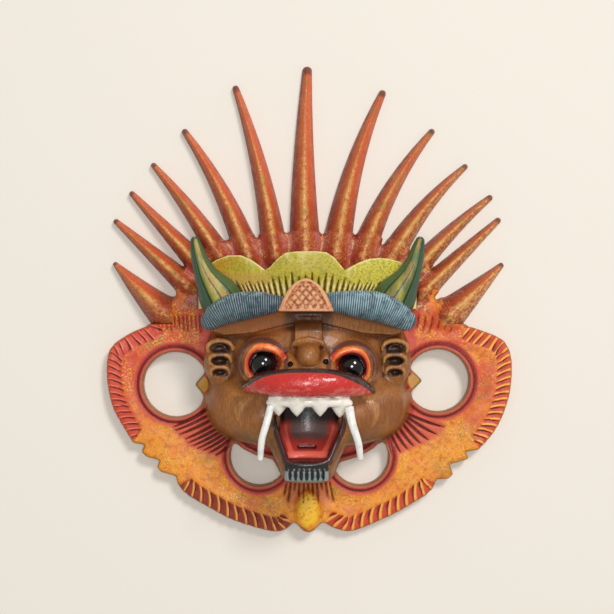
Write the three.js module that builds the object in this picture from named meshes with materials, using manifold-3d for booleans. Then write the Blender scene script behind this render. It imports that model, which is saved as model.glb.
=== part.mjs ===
// A carved and painted barong mask, lying on its flat back.
// Millimetres: +X to the viewer's right, +Y towards the rays, +Z out of the face.
import * as THREE from 'three';
import { mergeVertices } from 'three/addons/utils/BufferGeometryUtils.js';
import Module from 'manifold-3d';

const wasm = await Module();
wasm.setup();

const OUT = new THREE.Vector3(0, 0, 1);
const SIDES = [-1, 1];

// ---------------------------------------------------------------- driving dimensions
const board = { thick: 12, below: -1 };

// Rays: foot and tip of the middle line, width at the foot, width at the tip, sideways bow to the right.
const rays = [
  { foot: [-108, -10], tip: [-145.3, 27], wide: 26, end: 4, bow: -0.6 },
  { foot: [-89, 9], tip: [-145, 59], wide: 19, end: 4.4, bow: 0.2 },
  { foot: [-81, 25], tip: [-133, 80], wide: 18, end: 4.4, bow: 0 },
  { foot: [-65, 31], tip: [-116.6, 101.4], wide: 19, end: 4.4, bow: 2 },
  { foot: [-44, 30.5], tip: [-93, 127], wide: 21, end: 5, bow: 3.9 },
  { foot: [-24, 30], tip: [-54.4, 159.7], wide: 21, end: 5.2, bow: 3.7 },
  { foot: [-1.5, 30], tip: [-0.2, 174], wide: 25, end: 7.6, bow: -1.9 },
  { foot: [21, 30], tip: [56.8, 156.2], wide: 24, end: 5.8, bow: -5.3 },
  { foot: [40, 28.5], tip: [94.2, 127], wide: 21, end: 5, bow: -5.6 },
  { foot: [59, 24], tip: [119.4, 100.4], wide: 21, end: 4.6, bow: -4.7 },
  { foot: [77, 17], tip: [138.2, 77], wide: 18.5, end: 4.8, bow: -2.2 },
  { foot: [85.4, 4.6], tip: [144.4, 60], wide: 18, end: 4.8, bow: -0.2 },
  { foot: [106, -12], tip: [146.6, 26.2], wide: 26, end: 4.4, bow: 0.3 },
];
const ray = { footHigh: 19, tipHigh: 6.5, steps: 6, crowding: 1.6, bluntness: 0.5 };

// The collar behind the face: a smooth upper rim, two small steps, a smooth lower rim.
const collar = {
  left: {
    upper: [[-117, -19.8], [-129, -24.3], [-139.2, -30.2], [-146.9, -36.9], [-149.4, -48], [-149.4, -60],
      [-146.4, -77.2], [-141.9, -87.6], [-136.7, -96.5], [-130, -107.4]],
    steps: [[-121.1, -108.8], [-123.7, -114.1], [-119.6, -117.9], [-109.9, -120.4], [-112.1, -125.6],
      [-109.1, -129.1], [-98, -132.1]],
    lower: [[-96.5, -138.3], [-92, -144.2], [-84.6, -149.4], [-72.6, -156.1], [-59.5, -163.3],
      [-46.6, -168.1], [-33.9, -171.8], [-23, -173.8], [-15.3, -171.4], [-10.1, -166.3]],
  },
  right: {
    upper: [[116.3, -19.8], [128.5, -23.5], [143.2, -29.3], [149.2, -35.5], [152, -46], [152, -58],
      [150.5, -71.2], [144.9, -88.4], [137.2, -101.8], [127, -112.6]],
    steps: [[117.1, -114.1], [120.3, -119.3], [105.4, -123.4], [108.4, -130.8], [104.7, -134.2], [96.2, -134.5]],
    lower: [[95.4, -136], [93.5, -141.2], [88.3, -146.2], [80.1, -151.3], [67.1, -159.1], [56, -164.3],
      [42.1, -170.3], [30.2, -173.6], [19, -170.6], [11.5, -166.3]],
  },
  hub: [[95, -1], [92, 22], [75, 34], [54, 40], [33, 45], [10, 48], [-14.8, 50], [-38, 45], [-61, 43], [-84, 38],
    [-93, 24], [-98, 2]],
  leafTip: [1.5, -174],
  rimPoints: 15,
};
// Middle, radius, and how far the tongue reaches in.
const earHole = { left: [-98, -63.9, 23.4, 10.4], right: [97, -61, 22.4, 12], points: 24, tongueHalf: 9.6 };
// A crescent each side of the jaw: an arc, in degrees, closed by a hanging roof.
const jawHoles = [
  { ring: [-36, -117.6, 20.6], from: 152, to: 320, roof: [[-26.3, -120.5], [-38.2, -117.6], [-47.8, -113]] },
  { ring: [38.9, -117.6, 20.4], from: 211, to: 394, roof: [[48.9, -112.5], [38.6, -118.4], [24.1, -122.6]] },
];
const arcPoints = 16;
const ringGroove = { inset: 3, wide: 3.6, deep: 2.4, facets: 22 };

// Gouge cuts of the rims, the cheek fans and the beard strokes.
const rimCut = { long: 13, wide: 4.4, deep: 3.2, inset: 5.4, slant: 0.6, upper: 16, lower: 10 };
const fanCut = { count: 9, from: 12, to: 56, wide: 3.4, deep: 2.6 };
const fan = { left: [-50, -82, 3.35, 4.35], right: [50, -80, -0.16, -1.2] };
const beardCut = { count: 9, spread: 26, top: -137, bottom: -153, wide: 2.6, deep: 2.2 };

const head = { middle: [0, -46, 4], size: [77, 60, 42] };
const brow = { middle: [0, -36, 12], size: [61, 38, 50] };
const muzzle = { middle: [0.3, -58, 40], size: [40, 26, 44] };
const cheek = { middle: [49, -77, 16], size: [24, 26, 32] };
const hollow = { middle: [0, -50, board.below], size: [56, 47, 31] };

const roll = { ends: [-73, 74.5], drop: 15, middle: -4.3, front: 70, back: 44, thin: 6, fat: 10.5, ridges: 20 };
const shelf = { span: 0.9, drop: 10, high: 14, deep: 18, back: 22, endSize: 0.4 };
const crown = { half: 76, foot: 2, front: 46, sweepBack: 18, lean: 5, thick: 7, stations: 26 };
const lobes = [[-76, 14], [-67, 29], [-46, 30], [-30.7, 21], [-16, 33], [15, 33], [28.5, 22], [43, 29.5], [67, 27], [76, 14]];
const crownCut = { count: 30, half: 53, wide: 1.9, deep: 1.6, tall: 15, fall: 5 };
const horn = {
  line: [[62, -12, 36], [65, 4, 42], [71.5, 15, 46], [76, 28, 50], [79, 43, 54]],
  half: [15, 16.5, 11.5, 8.2, 3.6],
  steps: 6,
};
const jewel = { half: 19, foot: -10.5, apex: 14, front: 79, back: 58, border: 3, inset: 2.2 };

const eye = { middle: [31.8, -47.8, 57], radius: 9.4 };
const socket = { radius: 17, deep: 14 };
const lid = { radius: 12.6, tube: 3.6, lift: 2, from: -0.25, to: 0.92 };
const bridge = { half: 9.5, top: -17, bottom: -31, front: 68, back: 40 };
const snout = { middle: [0.4, -41, 68], size: [9.6, 11.5, 15] };

const lip = {
  line: [[-46, -63.5, 60], [-31, -60.5, 79], [-14, -60, 88], [0.3, -60, 90], [15, -60, 88], [32, -62, 79],
    [47, -66, 60]],
  half: 10.5,
  endHalf: 3.5,
  deep: 8,
  steps: 10,
};
const gum = { line: [[-27, -73, 72], [-13, -72.5, 80], [0.5, -72, 82], [15, -72.5, 80], [30, -74, 72]], half: 4.6 };
const teeth = { at: [-20.6, -7.3, 9, 22.4], root: -73, tip: -84.5, half: 6.6, front: 81, sides: 6 };
const tusk = {
  left: [[-25.6, -75.5, 80], [-28.4, -87, 82], [-32, -100, 81], [-33.2, -113.9, 77]],
  right: [[28.8, -76.5, 80], [31.2, -88, 82], [35.6, -102, 81], [37.1, -113.2, 77]],
  root: 3.4,
  tip: 2,
  gap: 0.3,
};

// Jaw and mouth, from the throat down to the chin: height, half width, front.
const jaw = [[-84, 36, 50], [-97, 33.5, 62], [-110, 27, 70], [-121, 20, 74], [-129, 17, 72], [-134, 13, 60]];
const mouth = { top: -76, bottom: -119, topHalf: 24.5, bottomHalf: 14, back: 40, front: 100, shrink: 0.8 };
const chinCut = { count: 7, half: 12, top: -121.5, bottom: -129.5, wide: 2, deep: 2 };
const ear = { curls: 3, middle: [65, -46], pitch: 10.4, radius: 6.4, tube: 2.9, high: 33 };
const leaf = { middle: [0.5, -158, 12], size: [9.5, 15.5, 6] };

// ---------------------------------------------------------------- small helpers
const range = (count) => [...Array(count).keys()];
const vec = (place) => new THREE.Vector3(...place);
const mix = (from, to, t) => from + (to - from) * t;
const mirrored = (place, side) => [place[0] * side, ...place.slice(1)];

// Height along a list of [x, height] pairs.
function profile(pairs, x) {
  const next = pairs.findIndex(([place]) => place >= x);
  if (next < 1) return pairs[next < 0 ? pairs.length - 1 : 0][1];
  const [x0, y0] = pairs[next - 1];
  const [x1, y1] = pairs[next];
  const t = (x - x0) / (x1 - x0);
  return mix(y0, y1, t * t * (3 - 2 * t));
}

function toSolid(geometry) {
  const bare = geometry.clone();
  bare.deleteAttribute('normal');
  bare.deleteAttribute('uv');
  const closed = mergeVertices(bare, 1e-4);
  const vertProperties = new Float32Array(closed.attributes.position.array);
  const triVerts = new Uint32Array(closed.index.array);
  return new wasm.Manifold(new wasm.Mesh({ numProp: 3, vertProperties, triVerts }));
}

const joined = (solids) => solids.reduce((whole, next) => whole.add(next));
const cutBy = (body, tools) => tools.reduce((left, tool) => left.subtract(tool), body);

// Rings of points, each counter-clockwise seen from the far end, closed at both ends.
function loft(rings) {
  const count = rings[0].length;
  const points = rings.flat();
  const faces = [];
  const quad = (a, b, c, d) => faces.push(a, b, d, a, d, c);
  for (let row = 0; row < rings.length - 1; row += 1) {
    for (let i = 0; i < count; i += 1) {
      const start = row * count;
      const j = (i + 1) % count;
      quad(start + i, start + j, start + i + count, start + j + count);
    }
  }
  const middle = (ring) => ring.reduce((sum, p) => sum.add(p), new THREE.Vector3()).divideScalar(count);
  points.push(middle(rings[0]), middle(rings.at(-1)));
  const last = (rings.length - 1) * count;
  for (let i = 0; i < count; i += 1) {
    const j = (i + 1) % count;
    faces.push(points.length - 2, j, i, points.length - 1, last + i, last + j);
  }
  const geometry = new THREE.BufferGeometry().setFromPoints(points);
  geometry.setIndex(faces);
  return toSolid(geometry);
}

// A section that may change along its line; section(t) lists [across, outwards] pairs, pace spaces them.
function sweep(line, steps, section, pace = (t) => t) {
  const path = new THREE.CatmullRomCurve3(line.map(vec));
  const rings = range(steps + 1).map((step) => {
    const t = pace(step / steps);
    const along = path.getTangentAt(t);
    const rise = OUT.clone().addScaledVector(along, -OUT.dot(along)).normalize();
    const across = rise.clone().cross(along);
    const centre = path.getPointAt(t);
    return section(t).map(([x, z]) => centre.clone().addScaledVector(across, x).addScaledVector(rise, z));
  });
  return loft(rings);
}

function oval(halfWide, halfDeep, sides) {
  return range(sides).map((i) => {
    const angle = (2 * Math.PI * (i + 0.5)) / sides;
    return [halfWide * Math.cos(angle), halfDeep * Math.sin(angle)];
  });
}

function ball({ middle, size }, around = 16, down = 9) {
  const geometry = new THREE.SphereGeometry(1, around, down);
  geometry.rotateX(Math.PI / 2);
  geometry.scale(...size);
  geometry.translate(...middle);
  return toSolid(geometry);
}

function slab(shape, back, front) {
  const geometry = new THREE.ExtrudeGeometry(shape, { depth: front - back, bevelEnabled: false, curveSegments: 5 });
  geometry.translate(0, 0, back);
  return toSolid(geometry);
}

// A gouge stroke: pointed at both ends, wide as a leaf, deepest in the middle.
function stroke(from, to, wide, deep) {
  const start = vec(from);
  const end = vec(to);
  const centre = start.clone().lerp(end, 0.5);
  const along = end.clone().sub(start);
  const geometry = new THREE.OctahedronGeometry(1);
  const across = OUT.clone().cross(along).normalize();
  const up = along.clone().cross(across).normalize();
  geometry.scale(along.length() / 2, wide / 2, deep);
  geometry.applyMatrix4(new THREE.Matrix4().makeBasis(along.normalize(), across, up));
  geometry.translate(...centre);
  return toSolid(geometry);
}

const curve2 = (places) => new THREE.SplineCurve(places.map(([x, y]) => new THREE.Vector2(x, y)));

// ---------------------------------------------------------------- collar and rays
function collarShape() {
  const side = ({ upper, steps, lower }) => [
    ...curve2(upper).getSpacedPoints(collar.rimPoints),
    ...steps.map(([x, y]) => new THREE.Vector2(x, y)),
    ...curve2(lower).getSpacedPoints(collar.rimPoints),
  ];
  const tip = new THREE.Vector2(...collar.leafTip);
  const hub = collar.hub.map(([x, y]) => new THREE.Vector2(x, y));
  return new THREE.Shape([...side(collar.left), tip, ...side(collar.right).reverse(), ...hub]);
}

// A round hole; towards the face a small pointed tongue stands in it.
function earHolePath([x, y, radius, tongue], side) {
  const path = new THREE.Path();
  const reach = Math.asin(earHole.tongueHalf / radius);
  const inward = side < 0 ? 0 : Math.PI;
  range(earHole.points + 1).forEach((i) => {
    const angle = inward + mix(reach, 2 * Math.PI - reach, i / earHole.points);
    const place = [x + radius * Math.cos(angle), y + radius * Math.sin(angle)];
    if (i === 0) path.moveTo(...place);
    else path.lineTo(...place);
  });
  const waist = [x - side * (radius - tongue * 0.6), earHole.tongueHalf * 0.5];
  path.lineTo(waist[0], y + side * waist[1]);
  path.lineTo(x - side * (radius - tongue), y);
  path.lineTo(waist[0], y - side * waist[1]);
  path.closePath();
  return path;
}

function jawHolePath({ ring: [x, y, radius], from, to, roof }) {
  const arc = range(arcPoints + 1).map((i) => {
    const angle = THREE.MathUtils.degToRad(mix(from, to, i / arcPoints));
    return [x + radius * Math.cos(angle), y + radius * Math.sin(angle)];
  });
  return new THREE.Path([...arc, ...roof].map((place) => new THREE.Vector2(...place)));
}

// A V groove that leaves a bead round a hole.
function ringCut([x, y, radius]) {
  const inner = radius + ringGroove.inset;
  const outer = inner + ringGroove.wide;
  const bottom = board.thick - ringGroove.deep;
  const section = [[inner, board.thick + 1], [mix(inner, outer, 0.4), bottom], [outer, board.thick + 1]];
  const closed = [...section, section[0]].map(([r, z]) => new THREE.Vector2(r, z));
  const geometry = new THREE.LatheGeometry(closed, ringGroove.facets);
  geometry.rotateX(Math.PI / 2);
  geometry.translate(x, y, 0);
  return toSolid(geometry);
}

function rimCuts(places, count, side) {
  const rim = curve2(places);
  return range(count).map((i) => {
    const t = (i + 0.7) / count;
    const at = rim.getPointAt(t);
    const along = rim.getTangentAt(t);
    const angle = Math.atan2(along.y, along.x) - side * (Math.PI / 2 + rimCut.slant);
    const inward = new THREE.Vector2(Math.cos(angle), Math.sin(angle));
    const centre = at.clone().addScaledVector(inward, rimCut.inset);
    const half = inward.multiplyScalar(rimCut.long / 2);
    const from = centre.clone().sub(half);
    const to = centre.clone().add(half);
    return stroke([from.x, from.y, board.thick], [to.x, to.y, board.thick], rimCut.wide, rimCut.deep);
  });
}

function fanCuts([x, y, first, last]) {
  return range(fanCut.count).map((i) => {
    const angle = mix(first, last, i / (fanCut.count - 1));
    const ring = (radius) => [x + radius * Math.cos(angle), y + radius * Math.sin(angle), board.thick];
    return stroke(ring(fanCut.from), ring(fanCut.to), fanCut.wide, fanCut.deep);
  });
}

function beardCuts() {
  return range(beardCut.count).map((i) => {
    const x = mix(-beardCut.spread, beardCut.spread, i / (beardCut.count - 1)) / 2;
    return stroke([x, beardCut.top, board.thick], [x * 1.2, beardCut.bottom, board.thick], beardCut.wide, beardCut.deep);
  });
}

// One ray: flat back, rounded sides, a ridge down the front, a blunt tip; stations crowd towards the tip.
function rayBody({ foot, tip, wide, end, bow }) {
  const start = new THREE.Vector2(...foot);
  const finish = new THREE.Vector2(...tip);
  const along = finish.clone().sub(start).normalize();
  const middle = start.clone().lerp(finish, 0.5).add(new THREE.Vector2(along.y, -along.x).multiplyScalar(bow));
  const line = [[...foot, 0], [middle.x, middle.y, 0], [...tip, 0]];
  return sweep(line, ray.steps, (t) => {
    const blunt = t === 1 ? ray.bluntness : 1;
    const half = (mix(wide, end, t) / 2) * blunt;
    const high = mix(ray.footHigh, ray.tipHigh, t) * blunt;
    return [[half, 0], [half * 0.8, high * 0.66], [0, high], [-half * 0.8, high * 0.66], [-half, 0]];
  }, (t) => 1 - (1 - t) ** ray.crowding);
}

function collarBody() {
  const shape = collarShape();
  shape.holes.push(earHolePath(earHole.left, -1), earHolePath(earHole.right, 1));
  shape.holes.push(...jawHoles.map(jawHolePath));
  const plain = slab(shape, 0, board.thick);
  const cuts = [
    ...[earHole.left, earHole.right, ...jawHoles.map(({ ring }) => ring)].map(ringCut),
    ...rimCuts(collar.left.upper, rimCut.upper, -1),
    ...rimCuts(collar.left.lower, rimCut.lower, -1),
    ...rimCuts(collar.right.upper, rimCut.upper, 1),
    ...rimCuts(collar.right.lower, rimCut.lower, 1),
    ...fanCuts(fan.left),
    ...fanCuts(fan.right),
    ...beardCuts(),
  ];
  return joined([cutBy(plain, cuts), ball(leaf, 12, 8), ...rays.map(rayBody)]);
}

// ---------------------------------------------------------------- head dress
const rollLine = () => [0, 0.07, 0.2, 0.36, 0.5, 0.64, 0.8, 0.93, 1].map((t) => {
  const x = mix(...roll.ends, t);
  const off = Math.abs(2 * t - 1);
  return [x, roll.middle - roll.drop * off ** 4, mix(roll.front, roll.back, off ** 2.2)];
});

const rollHalf = (t) => {
  const off = Math.abs(2 * t - 1);
  const swell = Math.sin(Math.PI * Math.min(1, off * 0.86 + 0.04));
  return mix(roll.thin, roll.fat, swell) * (off > 0.97 ? 0.75 : 1);
};

function rollBody() {
  const steps = roll.ridges * 2;
  return sweep(rollLine(), steps, (t) => {
    const groove = Math.round(t * steps) % 2 ? 1 : 0.93;
    const half = rollHalf(t) * groove;
    return oval(half, half, 7);
  });
}

function shelfBody() {
  const line = rollLine().map(([x, y, z]) => [x * shelf.span, y - shelf.drop, z - shelf.back]);
  return sweep(line, 10, (t) => {
    const fade = mix(1, shelf.endSize, Math.abs(2 * t - 1) ** 2);
    return oval(shelf.high * fade, shelf.deep * fade, 8);
  });
}

const crownFront = (x) => crown.front - crown.sweepBack * (x / crown.half) ** 2;

function crownBody() {
  const rings = range(crown.stations + 1).map((i) => {
    const x = mix(-crown.half, crown.half, i / crown.stations);
    const top = profile(lobes, x);
    const front = crownFront(x);
    const foot = crown.foot - 8;
    return [[foot, front - 26], [foot, front], [top, front + crown.lean], [top - 1, front - crown.thick + 1]]
      .map(([y, z]) => new THREE.Vector3(x, y, z)).reverse();
  });
  return loft(rings);
}

function crownCuts() {
  return range(crownCut.count).map((i) => {
    const x = mix(-crownCut.half, crownCut.half, i / (crownCut.count - 1));
    const tall = crownCut.tall - crownCut.fall * Math.abs(Math.sin((x / 30) * Math.PI / 2));
    const z = crownFront(x) + 1.2;
    return stroke([x, crown.foot, z - 1], [x * 1.01, crown.foot + tall, z + 1.5], crownCut.wide, crownCut.deep);
  });
}

function hornBody(side) {
  const line = horn.line.map((place) => mirrored(place, side));
  const halfAt = (t) => profile(horn.half.map((half, i) => [i / (horn.half.length - 1), half]), t);
  return sweep(line, horn.steps, (t) => {
    const half = halfAt(t) * (t === 1 ? 0.7 : 1);
    return oval(half, half * 0.8, 8).map(([x, z], i) => (i % 2 ? [x * 0.93, z * 0.93] : [x, z]));
  });
}

function archShape(inset) {
  const shape = new THREE.Shape();
  const half = jewel.half - inset;
  const foot = jewel.foot + inset;
  const apex = jewel.apex - inset * 1.4;
  shape.moveTo(-half, foot);
  shape.lineTo(half, foot);
  shape.quadraticCurveTo(half * 0.62, mix(foot, apex, 0.72), 0, apex);
  shape.quadraticCurveTo(-half * 0.62, mix(foot, apex, 0.72), -half, foot);
  return shape;
}

function jewelBody() {
  const face = jewel.front - jewel.inset;
  const slope = (x, y, dx) => stroke([x - 9 * dx, y - 9, face], [x + 9 * dx, y + 9, face], 1.6, 1.4);
  const lattice = [-8, 0, 8].flatMap((x) => [slope(x, -1, 1), slope(x, -1, -1)]);
  const frameBack = slab(archShape(0), jewel.back, jewel.front);
  return cutBy(frameBack.subtract(slab(archShape(jewel.border), face, jewel.front + 1)), lattice);
}

// ---------------------------------------------------------------- face
function headBody() {
  const cheeks = SIDES.map((side) => ball({ middle: mirrored(cheek.middle, side), size: cheek.size }, 12, 8));
  return joined([ball(head), ball(brow), ball(muzzle, 14, 8), ...cheeks, jawBody()]);
}

function jawBody() {
  const rings = jaw.map(([y, half, front]) => {
    const outline = [[-half, 2], [half, 2], [half, front * 0.62], [half * 0.8, front * 0.93], [half * 0.4, front],
      [-half * 0.4, front], [-half * 0.8, front * 0.93], [-half, front * 0.62]];
    return outline.map(([x, z]) => new THREE.Vector3(x, y, z)).reverse();
  });
  return loft(rings.reverse());
}

function mouthCut() {
  const ring = (scale, z) => {
    const half = (wide) => wide * scale;
    const low = mix(mouth.top, mouth.bottom, scale);
    const outline = [[-half(mouth.topHalf), mouth.top], [-half(mouth.topHalf), -93], [-half(mouth.bottomHalf), low],
      [half(mouth.bottomHalf), low], [half(mouth.topHalf), -93], [half(mouth.topHalf), mouth.top]];
    return outline.map(([x, y]) => new THREE.Vector3(x, y, z));
  };
  return loft([ring(mouth.shrink, mouth.back), ring(1, 62), ring(1, mouth.front)]);
}

function eyeParts(side) {
  const middle = mirrored(eye.middle, side);
  const [x, y, z] = middle;
  const arc = range(7).map((i) => {
    const angle = Math.PI * mix(lid.from, lid.to, i / 6);
    return [x - side * lid.radius * Math.cos(angle), y + lid.lift + lid.radius * Math.sin(angle), z + 2];
  });
  const lidBody = sweep(arc, 9, (t) => {
    const half = lid.tube * mix(0.35, 1, Math.sin(Math.PI * t));
    return oval(half, half, 6);
  });
  return [ball({ middle, size: Array(3).fill(eye.radius) }, 12, 6), lidBody];
}

function socketCut(side) {
  const [x, y, z] = mirrored(eye.middle, side);
  return ball({ middle: [x, y, z + 6], size: [socket.radius, socket.radius, socket.deep] }, 14, 8);
}

function noseParts() {
  const { half, top, bottom, front, back } = bridge;
  const block = new THREE.BoxGeometry(2 * half, top - bottom, front - back);
  block.translate(0, (top + bottom) / 2, (front + back) / 2);
  return [toSolid(block), ball(snout, 12, 8)];
}

function lipBody() {
  return sweep(lip.line, lip.steps, (t) => {
    const fade = Math.sin(Math.PI * mix(0.08, 0.92, t)) ** 0.6;
    return oval(mix(lip.endHalf, lip.half, fade), lip.deep * mix(0.5, 1, fade), 8);
  });
}

function teethBody() {
  const bar = sweep(gum.line, 6, () => oval(gum.half, gum.half, 6));
  const points = teeth.at.map((x) => {
    const ring = (y, half, z) => oval(half, half * 0.8, teeth.sides)
      .map(([dx, dz]) => new THREE.Vector3(x + dx, y, z + dz));
    const front = teeth.front - Math.abs(x) * 0.22;
    return loft([ring(teeth.root, teeth.half, front), ring(-78, teeth.half * 0.72, front), ring(teeth.tip, 0.8, front - 2)]);
  });
  return joined([bar, ...points]);
}

function tuskBody(line, grow) {
  return sweep(line, 7, (t) => {
    const half = mix(tusk.root, tusk.tip, t) * (t === 1 ? 0.55 : 1) + grow;
    return oval(half, half, 8);
  });
}

// The hole that a tusk is let into: the same bar, a little fatter and longer at the root.
function tuskSocket(line) {
  const [x, y, z] = line[0];
  return tuskBody([[x, y + tusk.gap, z], ...line.slice(1)], tusk.gap);
}

function earBody(side) {
  const [x, y] = ear.middle;
  return joined(range(ear.curls).map((i) => {
    const centre = y + (1 - i) * ear.pitch;
    const arc = range(7).map((step) => {
      const angle = Math.PI * mix(-0.35, 1.05, step / 6);
      return [side * (x + ear.radius * Math.cos(angle)), centre + ear.radius * 0.7 * Math.sin(angle), ear.high];
    });
    return sweep(arc, 5, (t) => oval(ear.tube * mix(1.15, 0.6, t), ear.tube * 1.6, 5));
  }));
}

function chinCuts() {
  return range(chinCut.count).map((i) => {
    const x = mix(-chinCut.half, chinCut.half, i / (chinCut.count - 1));
    return stroke([x, chinCut.top, 74.5], [x, chinCut.bottom, 72.5], chinCut.wide, chinCut.deep);
  });
}

// ---------------------------------------------------------------- the whole mask
function maskBody() {
  const face = cutBy(headBody(), [...SIDES.map(socketCut), ...chinCuts()]);
  const dress = joined([rollBody(), shelfBody(), cutBy(crownBody(), crownCuts()), ...SIDES.map(hornBody), jewelBody()]);
  const features = joined([...SIDES.flatMap(eyeParts), ...noseParts(), ...SIDES.map(earBody)]);
  const open = joined([face, features]).subtract(mouthCut());
  const solid = joined([collarBody(), open, dress, lipBody(), teethBody()]);
  const under = slab(new THREE.Shape([[-300, -300], [300, -300], [300, 300], [-300, 300]]
    .map(([x, y]) => new THREE.Vector2(x, y))), -60, 0);
  return cutBy(solid, [under, ball(hollow), tuskSocket(tusk.left), tuskSocket(tusk.right)]);
}

function toMesh(name, solid, look) {
  const { vertProperties, triVerts } = solid.getMesh();
  const geometry = new THREE.BufferGeometry();
  geometry.setAttribute('position', new THREE.BufferAttribute(vertProperties, 3));
  geometry.setIndex(new THREE.BufferAttribute(triVerts, 1));
  const mesh = new THREE.Mesh(geometry, new THREE.MeshStandardMaterial(look));
  mesh.name = name;
  return mesh;
}

const paintedWood = { color: '#c86a2c', roughness: 0.5, metalness: 0 };
const whitePaint = { color: '#edebe3', roughness: 0.35, metalness: 0 };

const group = new THREE.Group();
group.add(toMesh('mask', maskBody(), paintedWood));
group.add(toMesh('tusk_left', tuskBody(tusk.left, 0), whitePaint));
group.add(toMesh('tusk_right', tuskBody(tusk.right, 0), whitePaint));

// The frame's origin lies under the middle of the mask.
const box = new THREE.Box3().setFromObject(group);
const middle = box.getCenter(new THREE.Vector3());
group.position.set(-middle.x, -middle.y, 0);

export default group;
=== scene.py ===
# %% [markdown]
# # A barong mask
# The real mask is one block of light carving wood. A carver saws the outline from a thick
# plank, rounds the rays, hollows the back and cuts the face forward in high relief; a painter
# then lays thin orange, red, olive and gold over it and leaves the face brown. Two slender
# tusks are carved apart and let in at the corners of the mouth.
#
# Here the same order is followed. Each form is a signed distance in millimetres on one grid of
# voxels: forms are added, gouge cuts are taken away, and the surface of the whole is meshed
# once. Distances blend softly where a carver would sand, and stay sharp where a gouge stops,
# which boolean operations on meshes don't give.

import math

import bmesh
import bpy
import numpy as np
import openvdb as vdb
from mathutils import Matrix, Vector


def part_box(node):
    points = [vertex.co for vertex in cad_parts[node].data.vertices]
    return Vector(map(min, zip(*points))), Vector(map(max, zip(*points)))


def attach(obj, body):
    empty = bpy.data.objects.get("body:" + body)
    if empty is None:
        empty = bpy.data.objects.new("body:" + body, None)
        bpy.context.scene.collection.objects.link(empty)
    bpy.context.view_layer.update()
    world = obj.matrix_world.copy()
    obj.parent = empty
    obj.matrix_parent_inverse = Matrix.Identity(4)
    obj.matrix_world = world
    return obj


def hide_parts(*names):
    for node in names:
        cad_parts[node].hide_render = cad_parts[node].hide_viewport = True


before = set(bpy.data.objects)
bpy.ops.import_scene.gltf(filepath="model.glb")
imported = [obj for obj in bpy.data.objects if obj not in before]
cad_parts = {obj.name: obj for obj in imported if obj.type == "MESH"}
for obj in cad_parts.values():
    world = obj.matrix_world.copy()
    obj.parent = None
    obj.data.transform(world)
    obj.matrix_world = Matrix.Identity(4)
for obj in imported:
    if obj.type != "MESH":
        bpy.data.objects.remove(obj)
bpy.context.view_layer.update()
MM = 0.001
mask_low, mask_high = (np.array(corner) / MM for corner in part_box("mask"))
print("mask box in mm:", mask_low.round(1), mask_high.round(1))

# %% [markdown]
# The carver measures sideways from the middle of the face, the frame from the middle of the
# whole box. The left edge of the collar is known in both, so it gives the shift between them.

# %% Carver's millimetres
COLLAR_LEFT = -149.7
SHIFT_X = mask_low[0] - COLLAR_LEFT
print("carver's x is the frame's x minus", round(SHIFT_X, 2), "mm")


def mix(a, b, t):
    return a + (b - a) * t


def smoothstep(low, high, value):
    t = np.clip((value - low) / (high - low), 0.0, 1.0)
    return t * t * (3.0 - 2.0 * t)


# %% [markdown]
# ## The grid
# A grid of 0.8 mm voxels is a little finer than the narrowest gouge stroke. `field` holds the
# distance to the wood's surface, negative inside, and `paint` remembers which form owns each
# place, so that the finish follows the carving.

# %% Voxel grid
VOXEL = 0.8
MARGIN = 4.0
grid_low = np.array([mask_low[0] - SHIFT_X, mask_low[1], mask_low[2]]) - MARGIN
grid_high = np.array([mask_high[0] - SHIFT_X, mask_high[1], mask_high[2]]) + MARGIN
grid_shape = np.ceil((grid_high - grid_low) / VOXEL).astype(int) + 1
axes = [grid_low[i] + VOXEL * np.arange(grid_shape[i]) for i in range(3)]
FAR = 12.0            # distance written where no wood is near
field = np.full(grid_shape, FAR, dtype=np.float32)
paint = np.zeros(grid_shape, dtype=np.uint8)
print("grid", grid_shape, "voxels")

FINISHES = ["collar", "rays", "crown", "horns", "roll", "jewel", "face", "lids", "eyes", "lip",
            "teeth", "throat", "chin", "back"]
CODE = {name: number for number, name in enumerate(FINISHES)}

# %% [markdown]
# Forms are added and cut one after another. Only the part of the grid round a form is worked
# on, which keeps each step fast, and a soft minimum fills the corner where two forms meet, as
# sandpaper would. A form that wins a place also paints it with its finish.


# %% Adding and cutting
def region(low, high):
    """Slices and broadcastable coordinates of the part of the grid between two corners."""
    cuts, coords = [], []
    for i in range(3):
        start = int(np.clip(np.floor((low[i] - grid_low[i]) / VOXEL), 0, grid_shape[i] - 1))
        stop = int(np.clip(np.ceil((high[i] - grid_low[i]) / VOXEL), start + 1, grid_shape[i]))
        cuts.append(slice(start, stop))
        shape = [1, 1, 1]
        shape[i] = -1
        coords.append(axes[i][start:stop].astype(np.float32).reshape(shape))
    return tuple(cuts), coords


def soft_min(a, b, k):
    if k <= 0:
        return np.minimum(a, b)
    h = np.clip(0.5 + 0.5 * (b - a) / k, 0.0, 1.0)
    return b + (a - b) * h - k * h * (1.0 - h)


def add(low, high, shape, finish, soft=0.0):
    """Add a form; shape(x, y, z) is its distance inside the given corners."""
    cuts, (x, y, z) = region(low, high)
    distance = np.broadcast_to(shape(x, y, z), field[cuts].shape)
    paint[cuts] = np.where(distance < field[cuts], CODE[finish], paint[cuts])
    field[cuts] = soft_min(field[cuts], distance, soft)


def cut(low, high, shape, finish=None, soft=0.0):
    """Take a form away; without a finish the old paint stays."""
    cuts, (x, y, z) = region(low, high)
    distance = -np.broadcast_to(shape(x, y, z), field[cuts].shape)
    if finish:
        paint[cuts] = np.where(distance > field[cuts], CODE[finish], paint[cuts])
    field[cuts] = -soft_min(-field[cuts], -distance, soft)


print(len(FINISHES), "finishes, from", FINISHES[0], "to", FINISHES[-1])

# %% [markdown]
# Three kinds of form carry most of the carving: an ellipsoid, a bar with a changing thickness
# along a curve, and a gouge stroke, which is a thin bar that runs out at both ends.

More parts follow.
